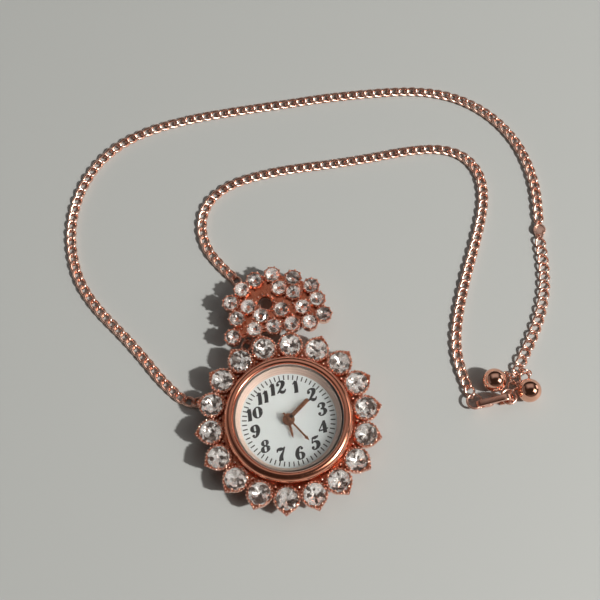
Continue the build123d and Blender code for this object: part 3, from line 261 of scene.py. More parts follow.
def plated(name, pale, deep, gloss, drift=260.0, scratch=0.10, depth=0.012):
    """Plated and polished metal: the tint drifts a little, and fine rubbing marks break up the shine."""
    finish = painted(name, pale, gloss, metal=1.0)
    nodes, links = finish.node_tree.nodes, finish.node_tree.links
    patches = pattern(finish, "ShaderNodeTexNoise", Scale=drift, Detail=4.0)
    coloured_by(finish, patches.outputs[0], deep, pale, 0.32, 0.62)
    rubbing = pattern(finish, "ShaderNodeTexNoise", Scale=drift * 14, Detail=6.0, Distortion=1.5)
    raised_by(finish, rubbing.outputs[0], 0.25, depth)
    shine = nodes.new("ShaderNodeMapRange")
    shine.inputs["From Min"].default_value = 0.3
    shine.inputs["From Max"].default_value = 0.75
    shine.inputs["To Min"].default_value = max(gloss - scratch * 0.5, 0.02)
    shine.inputs["To Max"].default_value = gloss + scratch
    links.new(rubbing.outputs[0], shine.inputs[0])
    links.new(shine.outputs[0], nodes["Principled BSDF"].inputs["Roughness"])
    return finish


rose_gold = plated("rose_gold_wire", (0.98, 0.66, 0.54), (0.86, 0.49, 0.38), 0.26)
chain_height = 0.55
bail_place = (-4.1, 25.0)
# Each place where the chain is lifted has its x and y, the height of the lift, and how far it reaches.
lifts = [(*bail_place, 0.75, 9.0), (49.1, 2.6, 0.4, 6.0)]


def lift_at(x, y):
    """How far the chain is off the table at a point: it climbs to the bail and over the balls' rings."""
    rise = 0.0
    for middle_x, middle_y, height, reach in lifts:
        share = hypot(x - middle_x, y - middle_y) / reach
        rise += height * (1 - share**2) ** 2 if share < 1 else 0.0
    return rise


def chain_line(name, turns):
    """The smooth line that a run of chain follows through the turns of its route."""
    bend = bpy.data.curves.new(name, "CURVE")
    bend.dimensions = "3D"
    bend.resolution_u = 16
    run = bend.splines.new("NURBS")
    run.points.add(len(turns) - 1)
    for knot, (x, y) in zip(run.points, turns):
        knot.co = (x * mm, y * mm, (chain_height + lift_at(x, y)) * mm, 1.0)
    run.order_u = 3
    run.use_endpoint_u = True
    holder = bpy.data.objects.new(name, bend)
    bpy.context.collection.objects.link(holder)
    drawn = bpy.data.meshes.new_from_object(holder)
    line = np.array([tuple(vertex.co) for vertex in drawn.vertices]) / mm
    bpy.data.objects.remove(holder)
    bpy.data.meshes.remove(drawn)
    return line


def line_length(line):
    """The length of a line of points."""
    return float(np.linalg.norm(np.diff(line, axis=0), axis=1).sum())


def stations(line, count, look=0.5):
    """The middle and direction of each of a number of equal stretches of a line."""
    steps = np.linalg.norm(np.diff(line, axis=0), axis=1)
    walked = np.concatenate([[0.0], np.cumsum(steps)])
    found = []
    for index in range(count):
        distance = walked[-1] * (index + 0.5) / count
        before, after = max(distance - look, 0.0), min(distance + look, walked[-1])
        spot, back, front = (
            np.array([np.interp(reach, walked, line[:, axis]) for axis in range(3)])
            for reach in (distance, before, after)
        )
        found.append((spot, (front - back) / np.linalg.norm(front - back)))
    return found


def wire_link(half_length, half_width, wire, turn_start, turn_end, squareness=2.6, steps=28, sides=10):
    """One link of round wire: an oval, turned about its length from one end to the other."""
    middles = []
    for step in range(steps):
        angle = tau * step / steps
        x = half_length * np.sign(cos(angle)) * abs(cos(angle)) ** (2 / squareness)
        y = half_width * np.sign(sin(angle)) * abs(sin(angle)) ** (2 / squareness)
        roll = radians(turn_start + (turn_end - turn_start) * (x + half_length) / (2 * half_length))
        middles.append(((x, y * cos(roll), y * sin(roll)), (0.0, -sin(roll), cos(roll))))
    points = []
    for step in range(steps):
        middle, up = (np.array(part) for part in middles[step])
        tangent = np.array(middles[(step + 1) % steps][0]) - np.array(middles[step - 1][0])
        tangent /= np.linalg.norm(tangent)
        side = np.cross(tangent, up)
        side /= np.linalg.norm(side)
        up = np.cross(side, tangent)
        for corner in range(sides):
            angle = tau * corner / sides
            points.append(middle + wire / 2 * (cos(angle) * side + sin(angle) * up))
    return np.array(points), skin(steps, sides, closed=True)


def placed(shape, spot, along, roll=0.0, upward=(0.0, 0.0, 1.0)):
    """A shape moved so that its X runs along a direction and its Z looks up, turned about its length."""
    points, faces = shape
    along = np.array(along) / np.linalg.norm(along)
    across = np.cross(upward, along)
    across /= np.linalg.norm(across)
    over = np.cross(along, across)
    turn_y = cos(roll) * across + sin(roll) * over
    turn_z = cos(roll) * over - sin(roll) * across
    return points @ np.array([along, turn_y, turn_z]) + np.array(spot), faces


shaker = random.Random(7)


def chain_links(line, count, link, loose=3.5):
    """A run of links along a line, each turned a little, as links lie."""
    links = []
    for spot, along in stations(line, count):
        links.append(placed(link, spot, along, radians(shaker.uniform(-loose, loose))))
    return gathered(links)


long_turns = [
    (62.9, 37.4), (64.1, 43.2), (64.3, 50.0), (63.2, 57.0), (60.3, 63.6), (55.4, 69.4), (49.2, 73.4),
    (41.6, 75.7), (31.6, 76.6), (21.0, 77.0), (10.0, 76.8), (-1.0, 76.7), (-11.2, 76.3), (-20.4, 75.0),
    (-28.4, 72.3), (-34.6, 67.6), (-39.0, 61.0), (-41.5, 53.4), (-41.9, 45.6), (-40.5, 38.0), (-36.8, 31.0),
    (-32.0, 24.6), (-28.0, 18.4), (-24.6, 12.6), (-20.2, 7.4), (-14.6, 7.9), (-11.0, 12.4), (-7.6, 16.4),
    (-5.0, 20.6), bail_place,
]
link_pitch = 2.05
small_link = wire_link(half_length=1.3, half_width=0.86, wire=0.6, turn_start=-35, turn_end=35)
long_line = chain_line("long_line", long_turns)[::-1]
long_count = round(line_length(long_line) / link_pitch)
long_points, long_faces = chain_links(long_line, long_count, small_link)
long_chain = piece("long_chain", long_points, long_faces, rose_gold, crease=180)
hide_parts("chain_long_run")

# The short run: curb links like those of the long run, in the same plated wire. It goes from the bail round
# the table to the clasp's ring.
short_turns = [
    bail_place, (-4.4, 29.6), (-6.4, 33.8), (-9.6, 38.0), (-12.1, 42.6), (-12.7, 48.0), (-10.9, 53.3),
    (-6.4, 56.9), (-0.2, 58.6), (8.5, 59.4), (18.0, 59.2), (28.0, 59.3), (37.0, 59.9), (44.5, 59.4),
    (49.8, 56.8), (52.5, 51.8), (52.2, 45.8), (50.3, 40.2), (47.2, 33.6), (43.7, 26.6), (40.6, 19.6),
    (38.3, 12.8), (37.8, 6.8), (38.63, 2.14),
]
short_line = chain_line("short_line", short_turns)
short_count = round(line_length(short_line) / link_pitch)
short_points, short_faces = chain_links(short_line, short_count, small_link)
short_chain = piece("short_chain", short_points, short_faces, rose_gold, crease=180)
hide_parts("chain_short_run")

# The extension: rounder links of thinner plated wire, open enough for the clasp to close on any of them. It
# hangs on from the tag, and carries the balls at its end.
extension_turns = [
    (62.1, 33.3), (61.6, 27.6), (60.3, 21.4), (57.9, 15.6), (54.4, 10.0), (50.9, 5.6), (48.39, 1.34),
]
extension_pitch = 2.12
big_link = wire_link(half_length=1.3, half_width=1.04, wire=0.48, turn_start=-42, turn_end=42, squareness=2.3)
extension_line = chain_line("extension_line", extension_turns)
extension_count = round(line_length(extension_line) / extension_pitch)
extension_points, extension_faces = chain_links(extension_line, extension_count, big_link, loose=2.0)
extension_chain = piece("extension_links", extension_points, extension_faces, rose_gold, crease=180)
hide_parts("extension_chain")


# The tag: a small thick disc, struck from sheet with a soft edge and a slight dish, and plated like the
# chain. It is soldered on a long link between the long run and the extension.
def turned(profile, segments, closed=True):
    """A shape turned on a lathe about Z, from its outline of radius and height."""
    points, faces = [], []
    count = len(profile)
    for segment in range(segments):
        angle = tau * segment / segments
        points.extend((radius * cos(angle), radius * sin(angle), height) for radius, height in profile)
    for segment in range(segments):
        start, after = segment * count, (segment + 1) % segments * count
        for corner in range(count if closed else count - 1):
            following = (corner + 1) % count
            if profile[corner][0] == 0 and profile[following][0] == 0:
                continue
            if profile[corner][0] == 0:
                faces.append((corner, after + following, start + following))
            elif profile[following][0] == 0:
                faces.append((start + corner, after + corner, following))
            else:
                faces.append((start + corner, after + corner, after + following, start + following))
    kept = sorted({corner for face in faces for corner in face})
    places = {corner: place for place, corner in enumerate(kept)}
    return np.array(points)[kept], [tuple(places[corner] for corner in face) for face in faces]


def rounded(profile, cuts, steps=5):
    """An outline with each corner that has a cut rounded off by that much."""
    outline = []
    count = len(profile)
    for index, (corner, cut) in enumerate(zip(profile, cuts)):
        if cut <= 0:
            outline.append(corner)
            continue
        corner = np.array(corner, dtype=float)
        before = np.array(profile[index - 1], dtype=float) - corner
        after = np.array(profile[(index + 1) % count], dtype=float) - corner
        start = corner + before / np.linalg.norm(before) * cut
        end = corner + after / np.linalg.norm(after) * cut
        for step in range(steps + 1):
            share = step / steps
            spot = (1 - share) ** 2 * start + 2 * share * (1 - share) * corner + share**2 * end
            outline.append(tuple(spot))
    return outline


tag_ends = np.array([long_turns[0], extension_turns[0]])
tag_place = (tag_ends[0] + tag_ends[1]) / 2
tag_spot = (*tag_place, chain_height)
tag_along = (*(tag_ends[0] - tag_place), 0.0)
tag_outline = rounded(
    [(0, -0.45), (1.4, -0.45), (1.4, 0.45), (1.12, 0.45), (1.0, 0.3), (0, 0.2)],
    [0, 0.2, 0.14, 0.06, 0.06, 0],
)
tag_disc = turned(tag_outline, 64)
tag_link = wire_link(half_length=2.3, half_width=0.75, wire=0.5, turn_start=-45, turn_end=45)
tag_points, tag_faces = gathered([placed(part, tag_spot, tag_along) for part in (tag_disc, tag_link)])
tag = piece("tag_disc", tag_points, tag_faces, rose_gold)
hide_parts("disc_tag")


# The rings: round wire, cut, bent shut and plated like the chain. One joins the clasp's eye to the short
# run, and one at the extension's end is there for the clasp's hook.
def flipped(faces):
    """Faces of four corners, turned to look the other way."""
    return [(first, fourth, third, second) for first, second, third, fourth in faces]


def wire_ring(radius, wire, steps=48, sides=12):
    """A round ring of wire, flat about its own middle."""
    points = []
    for step in range(steps):
        angle = tau * step / steps
        for corner in range(sides):
            swing = tau * corner / sides
            reach = radius + wire / 2 * cos(swing)
            points.append((reach * cos(angle), reach * sin(angle), wire / 2 * sin(swing)))
    return np.array(points), flipped(skin(steps, sides, closed=True))


def box_middle(node):
    """The middle of a node's box, in millimetres."""
    low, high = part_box(node)
    return (np.array(low) + np.array(high)) / 2 / mm


closed_ring = wire_ring(radius=1.52, wire=0.5)
clasp_ring_middle = box_middle("clasp_ring")
end_ring_middle = box_middle("end_ring")
clasp_ring_points, clasp_ring_faces = placed(closed_ring, clasp_ring_middle, (1, 0, 0))
clasp_ring = piece("eye_ring", clasp_ring_points, clasp_ring_faces, rose_gold, crease=180)
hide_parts("clasp_ring")
end_ring_points, end_ring_faces = placed(closed_ring, end_ring_middle, (1, 0, 0))
end_ring = piece("hook_ring", end_ring_points, end_ring_faces, rose_gold, crease=180)
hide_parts("end_ring")


# The joining links: short links of plated wire, one between each run's last link and its ring. The wire is
# twisted, so that the end in the level ring stands upright.
ring_side = 1.6 * cos(pi / 8)
link_hold = 0.65
link_reach = 3.0
twisted_link = wire_link(half_length=1.5, half_width=0.95, wire=0.5, turn_start=-45, turn_end=90)


def joining_link(run_end, ring_middle):
    """A link that leans up from the end of a run to a level ring."""
    low = np.array([*run_end, chain_height + lift_at(*run_end)])
    way = np.array([low[0] - ring_middle[0], low[1] - ring_middle[1], 0.0])
    way /= np.linalg.norm(way)
    inner = ring_middle + way * (ring_side - link_hold)
    outer = inner + way * link_reach
    outer[2] = low[2]
    return placed(twisted_link, (inner + outer) / 2, inner - outer)


join_points, join_faces = gathered(
    [joining_link(short_turns[-1], clasp_ring_middle), joining_link(extension_turns[-1], end_ring_middle)]
)
joining_links = piece("joining_wire_links", join_points, join_faces, rose_gold, crease=180)
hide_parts("joining_links")

# The balls: two hollow balls, plated and mirror polished, that weight the chain's end. Each has a post with
# an eye, and hangs on its own upright ring through a link of the extension.
mirror_gold = plated("mirror_gold", (0.93, 0.52, 0.38), (0.87, 0.44, 0.31), 0.07, scratch=0.04, depth=0.003)


def globe(radius, rings=32, segments=64):
    """A ball about its own middle."""
    turns = [pi * ring / rings for ring in range(1, rings)]
    outline = [(radius * sin(turn), -radius * cos(turn)) for turn in turns]
    return turned([(0.01, -radius)] + outline + [(0.01, radius)], segments, closed=False)


def laid(shape):
    """A shape turned on a lathe about Z, laid over so that its axis is X."""
    points, faces = shape
    return points[:, [2, 0, 1]], faces


ball_radius = 2.5
post_radius = 0.22
eye_radius = 0.5
eye_wire = 0.32
ball_ring_radius = 1.06
ball_ring_wire = 0.4
ball_ring_reach = 1.1
ball_ring_height = ball_ring_reach + 0.6 * ball_ring_wire + 0.02
ball_collar = turned(rounded([(0.0, 2.3), (0.75, 2.3), (0.5, 2.75), (0.0, 2.75)], [0, 0.1, 0.1, 0]), 32)
# Each ball has its middle, the link that carries it, counted from the end, and the side that it hangs on.
hangings = [((50.7, -1.2, 2.6), 2, 1), ((44.0, 2.1, 2.6), 1, -1)]
extension_stations = stations(extension_line, extension_count)
ball_parts, ball_ring_parts = [], []
for ball_middle, from_end, hand in hangings:
    spot, along = extension_stations[-from_end]
    across = np.array([-along[1], along[0], 0.0]) * hand
    across /= np.linalg.norm(across)
    foot = np.array([spot[0], spot[1], ball_ring_height])
    ring_middle = foot + across * ball_ring_reach
    ring_shape = wire_ring(ball_ring_radius, ball_ring_wire)
    ball_ring_parts.append(placed(ring_shape, ring_middle, across, upward=np.cross(across, (0, 0, 1))))
    eye = foot + across * 2 * ball_ring_reach
    hang = eye - np.array(ball_middle)
    post_end = np.linalg.norm(hang) - eye_radius
    post = turned([(0.0, 0.0), (post_radius, 0.0), (post_radius, post_end), (0.0, post_end)], 20)
    ball_parts += [
        placed(globe(ball_radius), ball_middle, hang),
        placed(laid(post), ball_middle, hang),
        placed(laid(ball_collar), ball_middle, hang),
        placed(wire_ring(eye_radius, eye_wire, 32, 10), eye, (1, 0, 0)),
    ]
ball_points, ball_faces = gathered(ball_parts)
balls = piece("weight_balls", ball_points, ball_faces, mirror_gold, crease=50)
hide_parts("end_balls")
ball_ring_points, ball_ring_faces = gathered(ball_ring_parts)
ball_rings = piece("ball_wire_rings", ball_ring_points, ball_ring_faces, rose_gold, crease=180)
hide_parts("ball_rings")


# The clasp: a cast claw with a thin eye, plated in rose gold, that lies on its edge. Its lever turns on a
# plated pin between two ears, and a steel spring keeps it shut.
def slab(outline, holes, thick, edge):
    """A flat casting with a rounded edge, from an outline and its holes."""
    shape = bpy.data.curves.new("slab", "CURVE")
    shape.dimensions = "2D"
    shape.fill_mode = "BOTH"
    shape.extrude = thick / 2 - edge
    shape.bevel_depth = edge
    shape.bevel_resolution = 3
    shape.offset = -edge
    for loop in [outline] + holes:
        run = shape.splines.new("POLY")
        run.points.add(len(loop) - 1)
        for knot, (x, y) in zip(run.points, loop):
            knot.co = (x, y, 0, 1)
        run.use_cyclic_u = True
    holder = bpy.data.objects.new("slab", shape)
    bpy.context.collection.objects.link(holder)
    drawn = bpy.data.meshes.new_from_object(holder)
    points = np.array([tuple(vertex.co) for vertex in drawn.vertices])
    faces = [tuple(face.vertices) for face in drawn.polygons]
    bpy.data.objects.remove(holder)
    bpy.data.meshes.remove(drawn)
    return points, faces


def arc(middle, radius, start, end, steps):
    """Points on an arc between two angles in degrees."""
    turns = [radians(start + (end - start) * step / steps) for step in range(steps + 1)]
    return [(middle[0] + radius * cos(turn), middle[1] + radius * sin(turn)) for turn in turns]


def upright(shape, spot):
    """A flat shape stood on its edge, with its X along the clasp and its Y up."""
    points, faces = shape
    return np.stack([points[:, 0], -points[:, 2], points[:, 1]], axis=1) + np.array(spot), faces


clasp_gold = plated("clasp_gold", (0.92, 0.52, 0.40), (0.76, 0.35, 0.24), 0.16, scratch=0.12, depth=0.02)
clasp_spot = (39.3, -2.2, 0.1)
hook_middle = (5.6, 2.2)
hook_outer = 2.2
hook_inner = 1.3
eye_middle = (1.2, 1.2)
eye_outer = 1.2
eye_bore = 0.56
throat_middle = (3.95, 2.35)
throat_bend = 0.65
lever_pin = (2.652, 1.2)
ear_radius = 0.95
ear_bore = 0.34
ear_side = 0.52
claw_outline = (
    arc(hook_middle, hook_outer, -100, 103, 40)
    + arc(eye_middle, eye_outer, 103, 262, 24)
    + [(1.5, 0.02), (2.3, 0.02), (2.35, 1.95)]
    + arc(throat_middle, throat_bend, 200, 100, 10)
    + arc(hook_middle, hook_inner, 96, -96, 30)
    + [(5.31, 0.9)]
)
claw_eye = arc(eye_middle, eye_bore, 360, 15, 23)
claw_parts = [upright(slab(claw_outline, [claw_eye], thick=1.3, edge=0.16), clasp_spot)]
ear_outline = arc(lever_pin, ear_radius, 0, 345, 23)
ear = slab(ear_outline, [arc(lever_pin, ear_bore, 360, 15, 23)], thick=0.34, edge=0.06)
for side in (-1, 1):
    claw_parts.append(upright(ear, (clasp_spot[0], clasp_spot[1] + side * ear_side, clasp_spot[2])))
claw_points, claw_faces = gathered(claw_parts)
clasp_body = piece("clasp_claw", claw_points, claw_faces, clasp_gold, crease=40)
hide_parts("clasp_body")
lever_root = 0.66
lever_tip = 0.33
lever_tip_middle = (4.9, 0.7)
lever_outline = arc(lever_pin, lever_root, 60, 250, 20) + arc(lever_tip_middle, lever_tip, 270, 405, 12)
lever_bore = arc(lever_pin, 0.37, 360, 15, 23)
lever_points, lever_faces = upright(slab(lever_outline, [lever_bore], thick=0.5, edge=0.08), clasp_spot)
clasp_lever = piece("clasp_gate", lever_points, lever_faces, clasp_gold, body="clasp_lever", crease=40)
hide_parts("clasp_lever")


def brushed(name, pale, deep, gloss, rate, round_marks=True, metal=1.0):
    """Metal with fine turning marks, in rings about the dial's axis or in straight lines."""
    finish = painted(name, pale, gloss, metal)
    marks = pattern(finish, "ShaderNodeTexWave", Scale=rate, Distortion=1.2, Detail=3.0)
    marks.wave_type = "RINGS" if round_marks else "BANDS"
    marks.rings_direction = "Z"
    coloured_by(finish, marks.outputs[0], deep, pale)
    raised_by(finish, marks.outputs[0], 0.3, 0.01)
    return finish


def dress(finish, *names):
    """Gives nodes of the frame a finish of their own."""
    for name in names:
        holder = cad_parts[name]
        if not holder.material_slots:
            holder.data.materials.append(None)
        for place in holder.material_slots:
            place.link = "OBJECT"
            place.material = finish


works_steel = brushed(
    "works_steel", (0.60, 0.60, 0.60), (0.46, 0.46, 0.47), 0.26, rate=1400.0, round_marks=False,
)
dress(works_steel, "clasp_spring")
dress(clasp_gold, "clasp_pin")


# The bail: a flat strip with soft edges, bent into a loop behind the crest and soldered to it. It is plated
# like the clasp, and the chain runs through it.
def swept(path, section):
    """A section carried round a closed flat path. The section's X leaves the path and its Y is up."""
    points = []
    for index, (x, y) in enumerate(path):
        before, after = path[index - 1], path[(index + 1) % len(path)]
        along = np.array([after[0] - before[0], after[1] - before[1]])
        along = along / np.linalg.norm(along)
        out = np.array([along[1], -along[0]])
        points.extend((x + out[0] * reach, y + out[1] * reach, height) for reach, height in section)
    return np.array(points), skin(len(path), len(section), closed=True)


bail_bend = 0.75
half_thick = 0.2
half_wide = 1.5
bail_middle = box_middle("bail")
bail_low, bail_high = (np.array(corner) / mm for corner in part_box("bail"))
bend_x = (bail_high[0] - bail_low[0]) / 2 - bail_bend
bend_y = (bail_high[2] - bail_low[2]) / 2 - bail_bend
bail_path = []
for side_x, side_y, start in ((1, -1, -90), (1, 1, 0), (-1, 1, 90), (-1, -1, 180)):
    bail_path += arc((side_x * bend_x, side_y * bend_y), bail_bend - half_thick, start, start + 90, 8)
strip_corners = [(x * half_thick, y * half_wide) for x, y in ((-1, -1), (1, -1), (1, 1), (-1, 1))]
bail_points, bail_faces = swept(bail_path, rounded(strip_corners, [0.12] * 4, 4))
bail_points = np.stack([bail_points[:, 0], bail_points[:, 2], bail_points[:, 1]], axis=1) + bail_middle
bail_faces = [face[::-1] for face in bail_faces]
bail = piece("bail_loop", bail_points, bail_faces, clasp_gold, crease=40)
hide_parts("bail")

# The case back: a steel disc with a soft edge, turned on a lathe so that fine marks run round it. It is
# snapped into the case from behind, by a low lip.
back_steel = brushed("back_steel", (0.66, 0.65, 0.63), (0.52, 0.51, 0.50), 0.28, rate=2600.0)
back_radius = 12.0
back_top = 0.7
lip_outer = 10.6
lip_inner = 10.1
lip_top = 1.2
back_outline = rounded(
    [
        (0.02, 0.05), (9.2, 0.05), (9.4, 0.0), (11.7, 0.0), (back_radius, 0.3), (back_radius, back_top),
        (lip_outer, back_top), (lip_outer, lip_top), (lip_inner, lip_top), (lip_inner, back_top),
        (0.02, back_top),
    ],
    [0, 0.04, 0.04, 0.12, 0.12, 0.08, 0, 0.06, 0.06, 0, 0],
)
back_points, back_faces = turned(back_outline, 160)
back_cover = piece("back_cover", back_points, back_faces, back_steel)
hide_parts("case_back")


# The rubber gaskets: black rings, moulded with a dull grain and pressed in. One goes round the case back's
# lip, and one rides in the crown.
def grained(finish, scale, strength, depth):
    """A finish with a fine grain standing out of it."""
    grain = pattern(finish, "ShaderNodeTexNoise", Scale=scale)
    raised_by(finish, grain.outputs[0], strength, depth)
    return finish


gasket_rubber = grained(painted("gasket_rubber", (0.018, 0.018, 0.018), 0.6), 4000.0, 0.3, 0.02)
dress(gasket_rubber, "case_back_gasket", "crown_gasket")

# The case: a band turned from brass, polished and plated in rose gold. Its flange carries the collar, and
# the bezel and the case back are pressed on it.
polished_gold = plated(
    "polished_gold", (0.91, 0.40, 0.27), (0.82, 0.31, 0.19), 0.16, drift=90.0, scratch=0.06, depth=0.004,
)
band_outer = 12.4
band_inner = 11.5
band_top = 5.9
flange_outer = 12.9
flange_low = 2.7
flange_top = 3.1
ledge_inner = 10.9
ledge_top = 3.5
band_outline = rounded(
    [
        (ledge_inner, back_top), (band_outer, back_top), (band_outer, flange_low),
        (flange_outer, flange_low), (flange_outer, flange_top), (band_outer, flange_top),
        (band_outer, band_top), (band_inner, band_top), (band_inner, ledge_top), (ledge_inner, ledge_top),
    ],
    [0, 0.12, 0.05, 0.08, 0, 0, 0.05, 0, 0, 0],
)
band_points, band_faces = turned(band_outline, 160)
case_band = piece("case_band", band_points, band_faces, polished_gold)
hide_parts("case_body")

# The bezel: a domed ring in the case's plated gold, turned and mirror polished, and pressed over the case's
# band. Outside it rolls over in one round sweep, and inside it falls away to the crystal.
bezel_crest = 11.8
outer_level = 5.6
outer_wide = 1.4
outer_tall = 1.48
inner_level = 6.8
inner_wide = 0.45
inner_tall = 0.28
seat_radius = 12.45
seat_level = 5.92
bezel_foot = 4.12
bezel_mouth = 11.25
bezel_outline = [(seat_radius, bezel_foot), (13.0, bezel_foot), (13.12, 4.2), (13.18, 4.4)]
for turn in range(0, 90, 5):
    angle = radians(turn)
    bezel_outline.append((bezel_crest + outer_wide * cos(angle), outer_level + outer_tall * sin(angle)))
for turn in range(0, 91, 10):
    angle = radians(turn)
    bezel_outline.append((bezel_crest - inner_wide * sin(angle), inner_level + inner_tall * cos(angle)))
bezel_outline += [(bezel_mouth + 0.02, 6.74), (bezel_mouth, 6.66)]
bezel_outline += [(bezel_mouth, seat_level), (seat_radius, seat_level)]
bezel_points, bezel_faces = turned(bezel_outline, 192)
bezel = piece("domed_bezel", bezel_points, bezel_faces, polished_gold, crease=50)
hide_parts("bezel")


# The crystal's gasket: a thin ring of milky nylon, cut from tube. It lies under the crystal's edge, which is
# pressed down on it.
def clouded(name, colour, gloss, scale, deep, pale, detail=2.0):
    """A painted finish whose colour drifts in soft clouds."""
    finish = painted(name, colour, gloss)
    clouds = pattern(finish, "ShaderNodeTexNoise", Scale=scale, Detail=detail)
    coloured_by(finish, clouds.outputs[0], deep, pale)
    return finish


gasket_nylon = clouded(
    "gasket_nylon", (0.72, 0.60, 0.53), 0.4, scale=1500.0, deep=(0.66, 0.54, 0.47), pale=(0.78, 0.68, 0.61),
)
dress(gasket_nylon, "crystal_gasket")


# The crystal: a flat disc of mineral glass, pressed into the bezel over its gasket. Its edge is ground, so
# it looks milky like the nylon under it.
def glass(name, colour, bending, passing):
    """Clear glass that lets the lamp's light through to what lies under it."""
    finish = painted(name, colour, 0.0)
    nodes, links = finish.node_tree.nodes, finish.node_tree.links
    shader = nodes["Principled BSDF"]
    shader.inputs["Transmission Weight"].default_value = 1.0
    shader.inputs["IOR"].default_value = bending
    clouding = pattern(finish, "ShaderNodeTexNoise", Scale=400.0)
    coloured_by(finish, clouding.outputs[0], [0.985 * share for share in colour], colour)
    ray = nodes.new("ShaderNodeLightPath")
    through = nodes.new("ShaderNodeBsdfTransparent")
    through.inputs["Color"].default_value = (passing, passing, passing, 1)
    mix = nodes.new("ShaderNodeMixShader")
    links.new(ray.outputs["Is Shadow Ray"], mix.inputs[0])
    links.new(shader.outputs[0], mix.inputs[1])
    links.new(through.outputs[0], mix.inputs[2])
    links.new(mix.outputs[0], nodes["Material Output"].inputs["Surface"])
    return finish


clear_glass = glass("clear_glass", (0.985, 0.99, 0.99), bending=1.45, passing=0.43)
crystal_radius = 11.24
crystal_low = 6.1
crystal_top = 6.8
crystal_outline = rounded(
    [(0.0, crystal_low), (crystal_radius, crystal_low), (crystal_radius, crystal_top), (0.0, crystal_top)],
    [0, 0.03, 0.1, 0],
)
crystal_points, crystal_faces = turned(crystal_outline, 160)
edge_start = 11.2
ground_edge = []
for face in crystal_faces:
    nearest = min(hypot(*crystal_points[corner][:2]) for corner in face)
    ground_edge.append(int(nearest > edge_start))
crystal = piece(
    "watch_glass", crystal_points, crystal_faces, clear_glass,
    second=gasket_nylon, marks=ground_edge,
)
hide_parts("crystal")

# The inner ring: a sloping wall of satin rose gold from the dial up to the crystal, turned and pressed in
# over the dial. It throws light on the dial.
wall_gold = brushed("inner_wall_gold", (0.65, 0.49, 0.405), (0.57, 0.41, 0.335), 0.36, rate=900.0, metal=0.1)
wall_foot = 9.8
wall_lip = 11.0
wall_outer = 11.45
wall_low = 3.92
wall_outline = rounded(
    [(wall_foot, wall_low), (wall_outer, wall_low), (wall_outer, band_top), (wall_lip, band_top)],
    [0, 0, 0, 0.06],
)
wall_points, wall_faces = turned(wall_outline, 192)
inner_wall = piece("inner_wall", wall_points, wall_faces, wall_gold)
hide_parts("rehaut_ring")

# The dial: a thin brass disc under white satin lacquer, with a fine grain in it. It sits on the case's
# ledge, and the inner ring holds it down.
dial_white = clouded(
    "dial_lacquer", (0.66, 0.71, 0.71), 0.42,
    scale=180.0, deep=(0.64, 0.69, 0.685), pale=(0.69, 0.745, 0.745), detail=3.0,
)
grained(dial_white, 9000.0, 0.15, 0.01)
dial_radius = 11.44
dial_hole = 0.85
dial_top = 3.9
dial_points, dial_faces = turned(
    [(dial_hole, ledge_top), (dial_radius, ledge_top), (dial_radius, dial_top), (dial_hole, dial_top)], 128,
)
dial = piece("dial_plate", dial_points, dial_faces, dial_white)
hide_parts("dial")

# The printing: sixty minute strokes and twelve numerals in thick black ink, pad printed on the lacquer.
# The numerals are drawn with a broad pen: full stems, hairlines and round drops at the ends.
dial_turn = 10.0
pen_swell = 1.42
pen_hairline = 0.10


def on_dial(distance, clock):
    """A place on the dial, from its distance from the middle and its direction in degrees past twelve."""
    angle = radians(90 + dial_turn - clock)
    return np.array([distance * cos(angle), distance * sin(angle)])


def pen_stroke(knots, steps=7):
    """A stroke of a broad pen through places with a width at each."""
    knots = np.array(knots, dtype=float)
    padded = np.vstack([2 * knots[0] - knots[1], knots, 2 * knots[-1] - knots[-2]])
    drawn = []
    for index in range(1, len(padded) - 2):
        for step in range(steps + (index == len(padded) - 3)):
            share = step / steps
            before, here, there, after = padded[index - 1 : index + 3]
            bend = 2 * before - 5 * here + 4 * there - after
            swing = 3 * here - before - 3 * there + after
            drawn.append(0.5 * (2 * here + (there - before) * share + bend * share**2 + swing * share**3))
    drawn = np.array(drawn)
    along = np.gradient(drawn[:, :2], axis=0)
    along /= np.linalg.norm(along, axis=1)[:, None] + 1e-9
    side = np.stack([-along[:, 1], along[:, 0]], axis=1)
    half = np.maximum(drawn[:, 2:3] * pen_swell, pen_hairline) / 2
    left, right = drawn[:, :2] + side * half, drawn[:, :2] - side * half
    points = np.vstack([left, right])
    count = len(left)
    return points, [(step, count + step, count + step + 1, step + 1) for step in range(count - 1)]


def pen_drop(x, y, radius, corners=16):
    """A round drop of ink."""
    turns = [tau * corner / corners for corner in range(corners)]
    points = [(x + radius * cos(turn), y + radius * sin(turn)) for turn in turns]
    return np.array(points), [tuple(range(corners))]


def oval(x, y, wide, tall, thin, thick):
    """A closed round of the pen, thick at its sides."""
    knots = []
    for step in range(17):
        turn = tau * step / 16
        knots.append((x + wide * cos(turn), y + tall * sin(turn), thin + (thick - thin) * cos(turn) ** 2))
    return pen_stroke(knots, 3)


